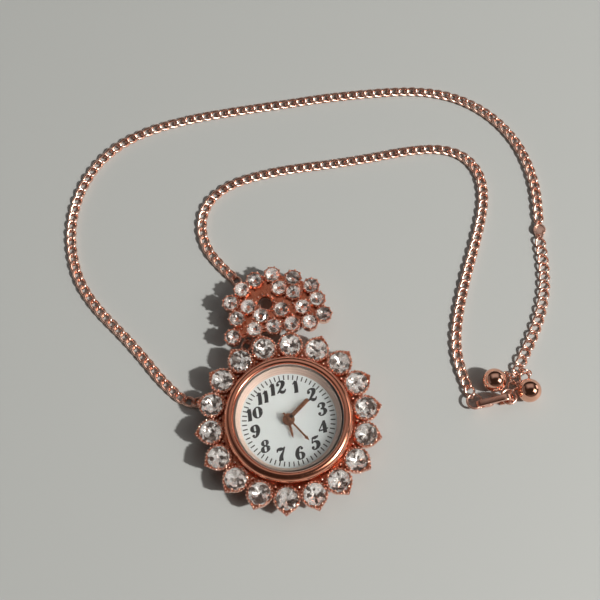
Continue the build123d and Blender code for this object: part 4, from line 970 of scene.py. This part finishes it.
# Each digit has its width and its strokes. A place in a stroke has its x, its y and the pen's width there.
digit_strokes = {
    "0": (0.66, [oval(0.33, 0.5, 0.23, 0.44, 0.06, 0.21)]),
    "1": (0.36, [
        pen_stroke([(0.22, 0.99, 0.17), (0.22, 0.6, 0.2), (0.2, 0.2, 0.2), (0.17, 0.0, 0.22)]),
        pen_stroke([(0.0, 0.78, 0.04), (0.12, 0.88, 0.1), (0.24, 0.98, 0.14)]),
    ]),
    "2": (0.68, [
        pen_stroke([
            (0.1, 0.7, 0.06), (0.13, 0.9, 0.08), (0.33, 0.98, 0.1), (0.52, 0.84, 0.2), (0.5, 0.62, 0.2),
            (0.3, 0.34, 0.14), (0.08, 0.08, 0.08),
        ]),
        pen_stroke([
            (0.04, 0.05, 0.06), (0.2, 0.17, 0.12), (0.42, 0.04, 0.19), (0.58, 0.08, 0.12),
            (0.66, 0.24, 0.04),
        ]),
        pen_drop(0.15, 0.74, 0.12),
    ]),
    "3": (0.64, [
        pen_stroke([
            (0.08, 0.82, 0.06), (0.2, 0.97, 0.08), (0.4, 0.97, 0.12), (0.5, 0.8, 0.2), (0.42, 0.6, 0.12),
            (0.24, 0.54, 0.06),
        ]),
        pen_stroke([
            (0.24, 0.54, 0.06), (0.46, 0.48, 0.13), (0.55, 0.26, 0.21), (0.4, 0.04, 0.12), (0.18, 0.03, 0.07),
            (0.06, 0.16, 0.06),
        ]),
        pen_drop(0.13, 0.79, 0.1),
        pen_drop(0.12, 0.2, 0.11),
    ]),
    "4": (0.7, [
        pen_stroke([(0.44, 0.98, 0.05), (0.28, 0.7, 0.06), (0.02, 0.3, 0.06)]),
        pen_stroke([(0.0, 0.28, 0.08), (0.3, 0.27, 0.08), (0.68, 0.29, 0.06)]),
        pen_stroke([(0.45, 0.99, 0.12), (0.45, 0.6, 0.2), (0.44, 0.2, 0.2), (0.42, 0.0, 0.21)]),
    ]),
    "5": (0.64, [
        pen_stroke([(0.15, 0.95, 0.08), (0.32, 0.92, 0.17), (0.5, 0.95, 0.14), (0.6, 1.02, 0.04)]),
        pen_stroke([(0.17, 0.96, 0.05), (0.14, 0.75, 0.05), (0.1, 0.52, 0.05)]),
        pen_stroke([
            (0.1, 0.53, 0.05), (0.26, 0.63, 0.08), (0.48, 0.52, 0.18), (0.52, 0.26, 0.21), (0.36, 0.04, 0.12),
            (0.16, 0.03, 0.07), (0.05, 0.16, 0.05),
        ]),
        pen_drop(0.12, 0.19, 0.11),
    ]),
    "6": (0.66, [
        pen_stroke([
            (0.54, 0.84, 0.06), (0.42, 0.98, 0.08), (0.22, 0.82, 0.17), (0.12, 0.45, 0.21),
            (0.18, 0.12, 0.15), (0.34, 0.02, 0.07), (0.5, 0.12, 0.16), (0.54, 0.32, 0.19),
            (0.42, 0.52, 0.09), (0.26, 0.52, 0.06), (0.15, 0.4, 0.06),
        ]),
        pen_drop(0.5, 0.82, 0.1),
    ]),
    "7": (0.64, [
        pen_stroke([
            (0.02, 0.74, 0.04), (0.1, 0.92, 0.14), (0.28, 0.92, 0.2), (0.46, 0.88, 0.14), (0.62, 1.0, 0.05),
        ]),
        pen_stroke([(0.6, 0.98, 0.06), (0.46, 0.68, 0.1), (0.28, 0.36, 0.19), (0.22, 0.0, 0.24)]),
    ]),
    "8": (0.64, [oval(0.33, 0.76, 0.17, 0.2, 0.06, 0.17), oval(0.31, 0.27, 0.21, 0.24, 0.06, 0.2)]),
}
six_width, six_strokes = digit_strokes["6"]
nine_strokes = [(np.array([six_width, 1.0]) - points, faces) for points, faces in six_strokes]
digit_strokes["9"] = (six_width, nine_strokes)
numeral_height = 2.5
numeral_circle = 7.1
numeral_lean = 0.14
numeral_stretch = 1.16
digit_gap = 0.1
ink_lift = 0.012
overlap_lift = 0.0015
up_dial, right_dial = on_dial(1, 0), on_dial(1, 90)
ink_parts = []
for hour in range(1, 13):
    digits = [digit_strokes[digit] for digit in str(hour)]
    total = sum(width for width, strokes in digits) + digit_gap * (len(digits) - 1)
    start = -total / 2
    for width, strokes in digits:
        for stroke, (points, faces) in enumerate(strokes):
            height = points[:, 1] - 0.5
            leaning = np.stack([points[:, 0] + numeral_lean * height + start, height], axis=1)
            leaning *= numeral_height * np.array([numeral_stretch, 1.0])
            flat = on_dial(numeral_circle, hour * 30) + leaning[:, :1] * right_dial + leaning[:, 1:] * up_dial
            level = np.full((len(flat), 1), dial_top + ink_lift + overlap_lift * stroke)
            ink_parts.append((np.hstack([flat, level]), faces))
        start += width + digit_gap
tick_start = 8.5
tick_end = 9.5
tick_wide = 0.24
for minute in range(60):
    along, side = on_dial(1, minute * 6), on_dial(1, minute * 6 + 90)
    corners = [
        along * tick_start - side * tick_wide / 2, along * tick_end - side * tick_wide / 2,
        along * tick_end + side * tick_wide / 2, along * tick_start + side * tick_wide / 2,
    ]
    ink_parts.append(([(x, y, dial_top + ink_lift) for x, y in corners], [(3, 2, 1, 0)]))
ink_points, ink_faces = gathered(ink_parts)
dial_ink = clouded(
    "dial_ink", (0.012, 0.012, 0.014), 0.32,
    scale=3500.0, deep=(0.008, 0.008, 0.01), pale=(0.035, 0.034, 0.034),
)
piece("dial_printing", ink_points, ink_faces, dial_ink, crease=0)

# The hands: stamped from thin sheet and plated in a darker rose gold. Each is pressed on its own tube by a
# round boss, the hour hand lowest and the second hand on top.
hand_gold = plated(
    "hand_gold", (0.54, 0.25, 0.14), (0.40, 0.16, 0.08), 0.26, drift=500.0, scratch=0.08, depth=0.006,
)
hand_thick = 0.15


def hand_blade(clock, outline, level, edge=0.05):
    """A flat hand that points at a place on the dial, from its outline along and across its length."""
    points, faces = slab(outline, [], hand_thick, edge)
    along, side = on_dial(1, clock), on_dial(1, clock + 90)
    flat = points[:, :1] * along - points[:, 1:2] * side
    return np.hstack([flat, points[:, 2:] + level + hand_thick / 2]), faces


def boss(radius, level, bore):
    """A round boss with a soft edge, as thick as the hands."""
    top = level + hand_thick
    outline = [(bore, level), (radius, level), (radius, top), (bore, top)]
    return turned(rounded(outline, [0, 0.04, 0.06, 0]), 64)


# Each hand has its direction in degrees past twelve, and the level of its underside.
hour_clock, hour_level = 185.2, 4.4
minute_clock, minute_level = 62.4, 4.8
second_clock, second_level = 156.0, 5.2
hour_outline = [(0, -0.27), (3.2, -0.24), (4.0, 0), (3.2, 0.24), (0, 0.27)]
hour_blade = hand_blade(hour_clock, hour_outline, hour_level)
hour_points, hour_faces = gathered([hour_blade, boss(1.25, hour_level, 0.5)])
hour_hand = piece("hour_pointer", hour_points, hour_faces, hand_gold, "hour_hand_set", crease=30)
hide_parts("hour_hand")
minute_outline = [(0, -0.43), (5.4, -0.43), (5.72, -0.25), (5.8, 0), (5.72, 0.25), (5.4, 0.43), (0, 0.43)]
minute_blade = hand_blade(minute_clock, minute_outline, minute_level)
minute_points, minute_faces = gathered([minute_blade, boss(1.2, minute_level, 0.3)])
minute_hand = piece("minute_pointer", minute_points, minute_faces, hand_gold, "minute_hand_set", crease=30)
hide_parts("minute_hand")
second_outline = [
    (-1.6, -0.19), (5.1, -0.19), (5.1, -0.40), (6.2, 0), (5.1, 0.40), (5.1, 0.19), (-1.6, 0.19),
]
second_blade = hand_blade(second_clock, second_outline, second_level, edge=0.03)
second_cap = turned(
    [(0.02, 5.42), (0.3, 5.4), (0.45, 5.32), (0.5, second_level), (0.02, second_level)], 40,
)
second_points, second_faces = gathered([second_blade, second_cap])
second_hand = piece("second_pointer", second_points, second_faces, hand_gold, "second_hand_set", crease=30)
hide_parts("second_hand")


# The collar: eighteen pointed cups cast in one ring and plated in rose gold. Each is edged with fine grains
# and closed over its stone by claws. The solid ring stays, and this is its edging.
def bead(spot, radius, squash):
    """A small raised grain of metal."""
    x, y, z = spot
    points = []
    for ring in range(3):
        slope = radians(-10 + 34 * ring)
        reach, level = radius * cos(slope), z + squash * radius * sin(slope)
        for corner in range(8):
            angle = tau * (corner + ring / 2) / 8
            points.append((x + reach * cos(angle), y + reach * sin(angle), level))
    points.append((x, y, z + squash * radius))
    cap = [(16 + corner, 16 + (corner + 1) % 8, 24) for corner in range(8)]
    return points, skin(3, 8) + cap


def petal(stone_circle, stone_angle, cup, tip):
    """The outline of a pointed cup, whose point looks away from the dial."""
    outline = []
    reach = tip - stone_circle
    lean = acos(min(cup / reach, 0.999))
    for step in range(29):
        turn = lean + (tau - 2 * lean) * step / 28
        outline.append((cup * cos(turn), cup * sin(turn)))
    for step in range(1, 6):
        share = step / 6
        outline.append((cup * cos(lean) + (reach - cup * cos(lean)) * share, -cup * sin(lean) * (1 - share)))
    outline.append((reach, 0.0))
    for step in range(1, 6):
        share = step / 6
        outline.append((reach - (reach - cup * cos(lean)) * share, cup * sin(lean) * share))
    spin = radians(stone_angle)
    cup_outline = []
    for x, y in outline:
        away = x + stone_circle
        cup_outline.append((cos(spin) * away - sin(spin) * y, sin(spin) * away + cos(spin) * y))
    return cup_outline


def ring_wall(outline, hole, low, high, edge=0.1):
    """A wall with a soft top between an outline and a matching hole."""
    outline, hole = np.array(outline), np.array(hole)
    rows = [
        (outline, low), (outline, high - edge), (outline + (hole - outline) * 0.18, high),
        (outline + (hole - outline) * 0.75, high), (hole, high - edge), (hole, low),
    ]
    points = [(*spot, level) for loop, level in rows for spot in loop]
    return points, skin(len(rows), len(outline))


def evenly(outline, spacing):
    """Places round a closed outline at an even spacing."""
    loop = np.array(list(outline) + [outline[0]])
    walked = np.concatenate([[0.0], np.cumsum(np.linalg.norm(np.diff(loop, axis=0), axis=1))])
    count = max(int(walked[-1] / spacing), 3)
    reaches = [walked[-1] * step / count for step in range(count)]
    return [(np.interp(reach, walked, loop[:, 0]), np.interp(reach, walked, loop[:, 1])) for reach in reaches]


def prong(spot, towards, level, radius, lean):
    """A claw: a bead drawn out over the stone's edge, in rows that each shift, rise and swell as told."""
    towards = np.array(towards) / np.linalg.norm(towards)
    points = []
    rows = [(-0.05, -0.5, 1.0), (-0.04, 0.0, 1.0), (0.04, 0.18, 0.95), (0.16, 0.28, 0.75), (lean, 0.31, 0.35)]
    for shift, rise, swell in rows:
        x, y = spot[0] + towards[0] * shift, spot[1] + towards[1] * shift
        for corner in range(8):
            angle = tau * corner / 8
            points.append((x + radius * swell * cos(angle), y + radius * swell * sin(angle), level + rise))
    top = tuple(range((len(rows) - 1) * 8, len(rows) * 8))
    return points, skin(len(rows), 8) + [top]


setting_gold = plated("setting_gold", (0.98, 0.66, 0.54), (0.88, 0.47, 0.35), 0.12, drift=420.0, depth=0.01)
setting_foot = 3.12
rim_top = 4.88
collar_count = 18
collar_circle = 16.1
cup_radius = 2.62
cup_hole = 2.36
cup_point = 19.38
claws_each = 9
grain_spacing = 0.66
gap_circle = 13.95
collar_angles = [90 + 360 / collar_count * (stone + 0.5) for stone in range(collar_count)]
collar_places = []
for angle in collar_angles:
    collar_places.append((collar_circle * cos(radians(angle)), collar_circle * sin(radians(angle))))
collar_parts = []
for stone_angle, stone_place in zip(collar_angles, collar_places):
    rim = petal(collar_circle, stone_angle, cup_radius, cup_point)
    middle = np.array(stone_place)
    hole = []
    for spot in rim:
        out = np.array(spot) - middle
        hole.append(tuple(middle + out / np.linalg.norm(out) * cup_hole))
    collar_parts.append(ring_wall(rim, hole, setting_foot, rim_top - 0.28))
    grain_line = [tuple(np.array(outer) * 0.72 + np.array(inner) * 0.28) for outer, inner in zip(rim, hole)]
    for spot in evenly(grain_line, grain_spacing):
        collar_parts.append(bead((*spot, rim_top - 0.24), shaker.uniform(0.24, 0.30), squash=1.3))
    for claw in range(claws_each):
        angle = radians(stone_angle + 360 / claws_each * (claw + 0.5))
        out = np.array((cos(angle), sin(angle)))
        collar_parts.append(prong(middle + out * cup_hole, -out, rim_top - 0.02, radius=0.22, lean=0.26))
# A larger grain fills each gap between two cups, on the side of the dial.
for gap in range(collar_count):
    angle = radians(90 + 360 / collar_count * gap)
    collar_parts.append(bead((gap_circle * cos(angle), gap_circle * sin(angle), 4.5), 0.36, squash=1.1))
collar_points, collar_faces = gathered(collar_parts)
piece("collar_edging", collar_points, collar_faces, setting_gold, crease=55)
# The ring and frame behind the cups: the cups' gold, painted darker and redder as shade between stones.
shaded_frame_gold = plated("shaded_frame_gold", (0.76, 0.26, 0.15), (0.47, 0.13, 0.07), 0.26, drift=420.0, depth=0.01)
dress(shaded_frame_gold, "collar_frame", "crest_frame")

# The stones: clear round brilliants of glass, cut and polished, and foiled behind so that light comes back
# through their facets. Each drops into its cup, and the claws are pressed over its edge.
clear_stone = glass("clear_stone", (0.985, 0.985, 0.98), bending=1.55, passing=1.0)
stone_foil = painted("stone_foil", (0.92, 0.91, 0.89), 0.10, metal=0.75)
# The foil's colour is painted in random cells, dark to near white, as painted reflections and glints.
painted_glint_cells = pattern(stone_foil, "ShaderNodeTexVoronoi", Scale=1500.0)
painted_glint_split = stone_foil.node_tree.nodes.new("ShaderNodeSeparateColor")
stone_foil.node_tree.links.new(painted_glint_cells.outputs["Color"], painted_glint_split.inputs[0])
painted_dark_facet, painted_glint = (0.16, 0.125, 0.11), (0.97, 0.965, 0.95)
painted_glint_tint = coloured_by(stone_foil, painted_glint_split.outputs[0], painted_dark_facet, painted_glint, 0.30, 0.58)
painted_glint_middle = painted_glint_tint.color_ramp.elements.new(0.42)
painted_glint_middle.color = (0.62, 0.585, 0.55, 1)


def brilliant(spot, radius, girdle, table, depth, spin):
    """A round cut stone: a table, stars, kites and girdle facets above, and long facets to a point below."""
    table_share, star_share, lower_share = 0.56, 0.80, 0.42
    star_level = girdle + (table - girdle) * 0.58
    points = []
    for share, level, turn in ((table_share, table, 0.0), (star_share, star_level, 0.5)):
        reach = radius * share
        for corner in range(8):
            angle = spin + tau * (corner + turn) / 8
            points.append((spot[0] + reach * cos(angle), spot[1] + reach * sin(angle), level))
    for corner in range(16):
        angle = spin + tau * corner / 16
        points.append((spot[0] + radius * cos(angle), spot[1] + radius * sin(angle), girdle))
    for corner in range(8):
        angle = spin + tau * (corner + 0.5) / 8
        reach = radius * lower_share
        points.append((spot[0] + reach * cos(angle), spot[1] + reach * sin(angle), girdle - depth * 0.66))
    points.append((spot[0], spot[1], girdle - depth))
    star, girdle_row, lower, tip = 8, 16, 32, 40
    faces = [tuple(range(8))]
    for corner in range(8):
        following, last = (corner + 1) % 8, (corner - 1) % 8
        edge = [girdle_row + (2 * corner + step) % 16 for step in range(3)]
        faces += [(corner, star + corner, following), (corner, star + last, edge[0], star + corner)]
        faces += [(star + corner, edge[0], edge[1]), (star + corner, edge[1], edge[2])]
    marks = [0] * len(faces)
    for corner in range(8):
        last = (corner - 1) % 8
        edge = [girdle_row + (2 * corner + step) % 16 for step in range(3)]
        faces += [(tip, lower + corner, edge[0], lower + last)]
        faces += [(lower + corner, edge[1], edge[0]), (lower + corner, edge[2], edge[1])]
    marks += [1] * (len(faces) - len(marks))
    return points, faces, marks


girdle_level = 4.62


def stone_group(name, node, spots, radius, table, depth):
    """All the stones of one size. Each sits a little high or low, and is turned and tilted a little."""
    parts, marks = [], []
    for spot in spots:
        stone_table, spin = table + shaker.uniform(-0.04, 0.04), shaker.uniform(0, 1)
        points, faces, kinds = brilliant(spot, radius, girdle_level, stone_table, depth, spin)
        tilt_x, tilt_y = shaker.uniform(-0.06, 0.06), shaker.uniform(-0.06, 0.06)
        points = [(x, y, z + (x - spot[0]) * tilt_x + (y - spot[1]) * tilt_y) for x, y, z in points]
        parts.append((points, faces))
        marks += kinds
    points, faces = gathered(parts)
    stones = piece(
        name, points, faces, clear_stone, crease=0, second=stone_foil, marks=marks,
    )
    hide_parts(node)


stone_group("collar_gems", "collar_stones", collar_places, radius=2.4, table=5.4, depth=1.05)

# The crest: twenty smaller stones in round cups, cast together in a free shape above the collar. The cups
# have a thin rim and small claws, in the collar's plated gold. Each stone's place is a share of the crest's
# width, from its middle line, and of its height, from its base.
crest_shares = [
    (-0.18, 0.95), (-0.33, 0.81), (-0.47, 0.6), (-0.43, 0.31), (-0.5, 0.0), (0.02, 1.0), (0.24, 0.89),
    (0.42, 0.7), (0.46, 0.45), (0.5, 0.17), (0.34, 0.07), (0.29, 0.35), (0.06, 0.36), (0.07, 0.75),
    (0.22, 0.63), (-0.29, 0.49), (-0.17, 0.3), (-0.26, 0.08), (-0.05, 0.08), (0.145, 0.08),
]
crest_side = 0.95
crest_width = 19.8
crest_base = 19.5
crest_height = 12.8
crest_places = [(crest_side + crest_width * x, crest_base + crest_height * y) for x, y in crest_shares]
crest_middle = np.array((crest_side, crest_base + crest_height / 2))
rim_radius = 1.80
rim_hole = 1.66
claw_circle = 1.76
crest_parts = []
# The first eleven cups stand on the crest's outside and have nine claws. The others have seven.
outside_cups = 11
for stone, (x, y) in enumerate(crest_places):
    away = np.array((x, y)) - crest_middle
    facing = atan2(away[1], away[0])
    rim, hole = [], []
    for step in range(32):
        turn = facing + tau * step / 32
        rim.append((x + rim_radius * cos(turn), y + rim_radius * sin(turn)))
        hole.append((x + rim_hole * cos(turn), y + rim_hole * sin(turn)))
    crest_parts.append(ring_wall(rim, hole, setting_foot, rim_top - 0.30))
    claws = 9 if stone < outside_cups else 7
    for claw in range(claws):
        angle = facing + tau * (claw + 0.5) / claws
        spot = (x + claw_circle * cos(angle), y + claw_circle * sin(angle), rim_top - 0.22)
        crest_parts.append(bead(spot, shaker.uniform(0.25, 0.31), squash=1.4))

# The crest's web: a plate behind the cups, cast in one with them, out to the middles of the outer ones. It
# has one round hole with a soft edge, and the table shows through. Its gold is painted darker, as shade.
crest_hole = np.array((-1.13, 26.28))
hole_radius = 1.5
hole_edge = 0.1
web_low = 3.2
web_top = 3.85
outer_stones = (5, 0, 1, 2, 3, 4, 17, 18, 19, 10, 9, 8, 7, 6)
crest_edge = np.array([crest_places[stone] for stone in outer_stones])
web_steps = 96
web_points = []
for step in range(web_steps):
    way = np.array((cos(tau * step / web_steps), sin(tau * step / web_steps)))
    reach = 0.0
    for near, far in zip(crest_edge, np.roll(crest_edge, -1, axis=0)):
        side = far - near
        across = way[0] * side[1] - way[1] * side[0]
        if abs(across) < 1e-9:
            continue
        away = near - crest_hole
        share = (away[0] * way[1] - away[1] * way[0]) / across
        distance = (away[0] * side[1] - away[1] * side[0]) / across
        if 0 <= share <= 1 and distance > reach:
            reach = distance
    section = [
        (hole_radius, web_low), (reach, web_low), (reach, web_top), (hole_radius + hole_edge, web_top),
        (hole_radius, web_top - hole_edge),
    ]
    web_points.extend((*(crest_hole + way * out), level) for out, level in section)
web_faces = flipped(skin(web_steps, len(section), closed=True))
piece("crest_web", web_points, web_faces, shaded_frame_gold, crease=30)

# The crest's grains: small raised beads, cast with the web. A ring of them goes round the hole, and one
# fills each gap between three cups, where it has room.
crest_spots = np.array(crest_places)
crest_count = len(crest_places)
hole_grains = 11
hole_grain_circle = 1.95
neighbour_reach = 5.0
room_from_stone = 1.9
room_from_hole = 1.85
room_from_grain = 0.65
grain_level = 4.0
crest_grains = []
for step in range(hole_grains):
    turn = tau * step / hole_grains
    crest_grains.append(crest_hole + hole_grain_circle * np.array((cos(turn), sin(turn))))
for first in range(crest_count):
    for second in range(first + 1, crest_count):
        for third in range(second + 1, crest_count):
            trio = crest_spots[[first, second, third]]
            if np.linalg.norm(trio - np.roll(trio, 1, axis=0), axis=1).max() < neighbour_reach:
                crest_grains.append(trio.mean(axis=0))
grains_set = []
for grain in crest_grains:
    from_stones = np.linalg.norm(crest_spots - grain, axis=1).min()
    from_hole = np.linalg.norm(grain - crest_hole)
    clear = from_stones > room_from_stone and from_hole > room_from_hole
    if clear and all(np.linalg.norm(grain - other) > room_from_grain for other in grains_set):
        grains_set.append(grain)
        crest_parts.append(bead((*grain, grain_level), shaker.uniform(0.3, 0.38), squash=1.3))
crest_points, crest_faces = gathered(crest_parts)
piece("crest_edging", crest_points, crest_faces, setting_gold, crease=55)
stone_group("crest_gems", "crest_stones", crest_places, radius=1.70, table=5.3, depth=0.95)

# The crown: a fluted knob, turned from bar, cut with grooves and plated in rose gold. It is fixed on the
# stem, and is pulled out to set the hands.
crown_gold = plated("crown_gold", (0.88, 0.50, 0.36), (0.72, 0.36, 0.24), 0.12)
flutes = 24
flute_depth = 0.06
crown_height = 1.65
# Each step of the outline has its distance from the watch's middle and its share of the full radius, 1 mm.
crown_profile = [
    (12.5, 0.90), (12.58, 0.98), (12.75, 1.0), (14.05, 1.0), (14.25, 0.96), (14.38, 0.82), (14.42, 0.5),
    (14.4, 0.0),
]
crown_points = []
for reach, share in crown_profile:
    for corner in range(flutes * 4):
        groove = flute_depth * (0.5 - 0.5 * cos(tau * corner / 4)) if 0.9 < share else 0.0
        angle = tau * corner / (flutes * 4)
        radius = (1.0 - groove) * share
        crown_points.append((reach, radius * cos(angle), radius * sin(angle)))
crown_shape = np.array(crown_points), skin(len(crown_profile), flutes * 4)
crown_points, crown_faces = placed(crown_shape, (0, 0, crown_height), (*on_dial(1, 90), 0))
crown = piece("fluted_crown", crown_points, crown_faces, crown_gold, "crown_and_stem", crease=40)
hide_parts("crown")

# Inside the case: the plates and wheels are brass, and the battery, screws, pins and strips are of the same
# steel as the clasp's spring. They are stamped, turned and cut, with the tool's fine marks, and sealed in.
plate_brass = brushed(
    "plate_brass", (0.80, 0.62, 0.32), (0.66, 0.49, 0.22), 0.30, rate=900.0, round_marks=False,
)
wheel_brass = brushed("wheel_brass", (0.83, 0.64, 0.30), (0.70, 0.52, 0.22), 0.22, rate=1500.0)
dress(plate_brass, "main_plate", "train_bridge")
dress(
    wheel_brass, "intermediate_wheel", "second_wheel", "third_wheel", "centre_wheel", "cannon_pinion",
    "minute_wheel", "hour_wheel",
)
dress(
    works_steel, "movement_screws", "battery", "battery_clip", "coil_core", "stator", "rotor", "quartz_can",
    "stem", "sliding_pinion", "setting_lever", "crown_tube",
)

# The coil: fine lacquered copper wire, wound in close turns on its iron core. The turns stand out as a low
# relief.
coil_copper = painted("coil_copper", (0.62, 0.25, 0.12), 0.3, metal=1.0)
coil_turns = pattern(coil_copper, "ShaderNodeTexWave", Scale=3000.0, Distortion=0.4)
raised_by(coil_copper, coil_turns.outputs[0], 1.0, 0.05)
dress(coil_copper, "coil")

# The circuit board and the movement's holder: the board is green, under a cloudy solder mask, and is fixed
# on the plate. The holder is pale plastic, moulded with a dull grain, and keeps the movement in the case.
board_green = clouded(
    "board_green", (0.03, 0.17, 0.08), 0.35, scale=900.0, deep=(0.015, 0.12, 0.05), pale=(0.04, 0.22, 0.10),
)
dress(board_green, "circuit_board")
holder_plastic = grained(painted("holder_plastic", (0.74, 0.73, 0.70), 0.5), 2500.0, 1.0, 0.02)
dress(holder_plastic, "movement_holder")
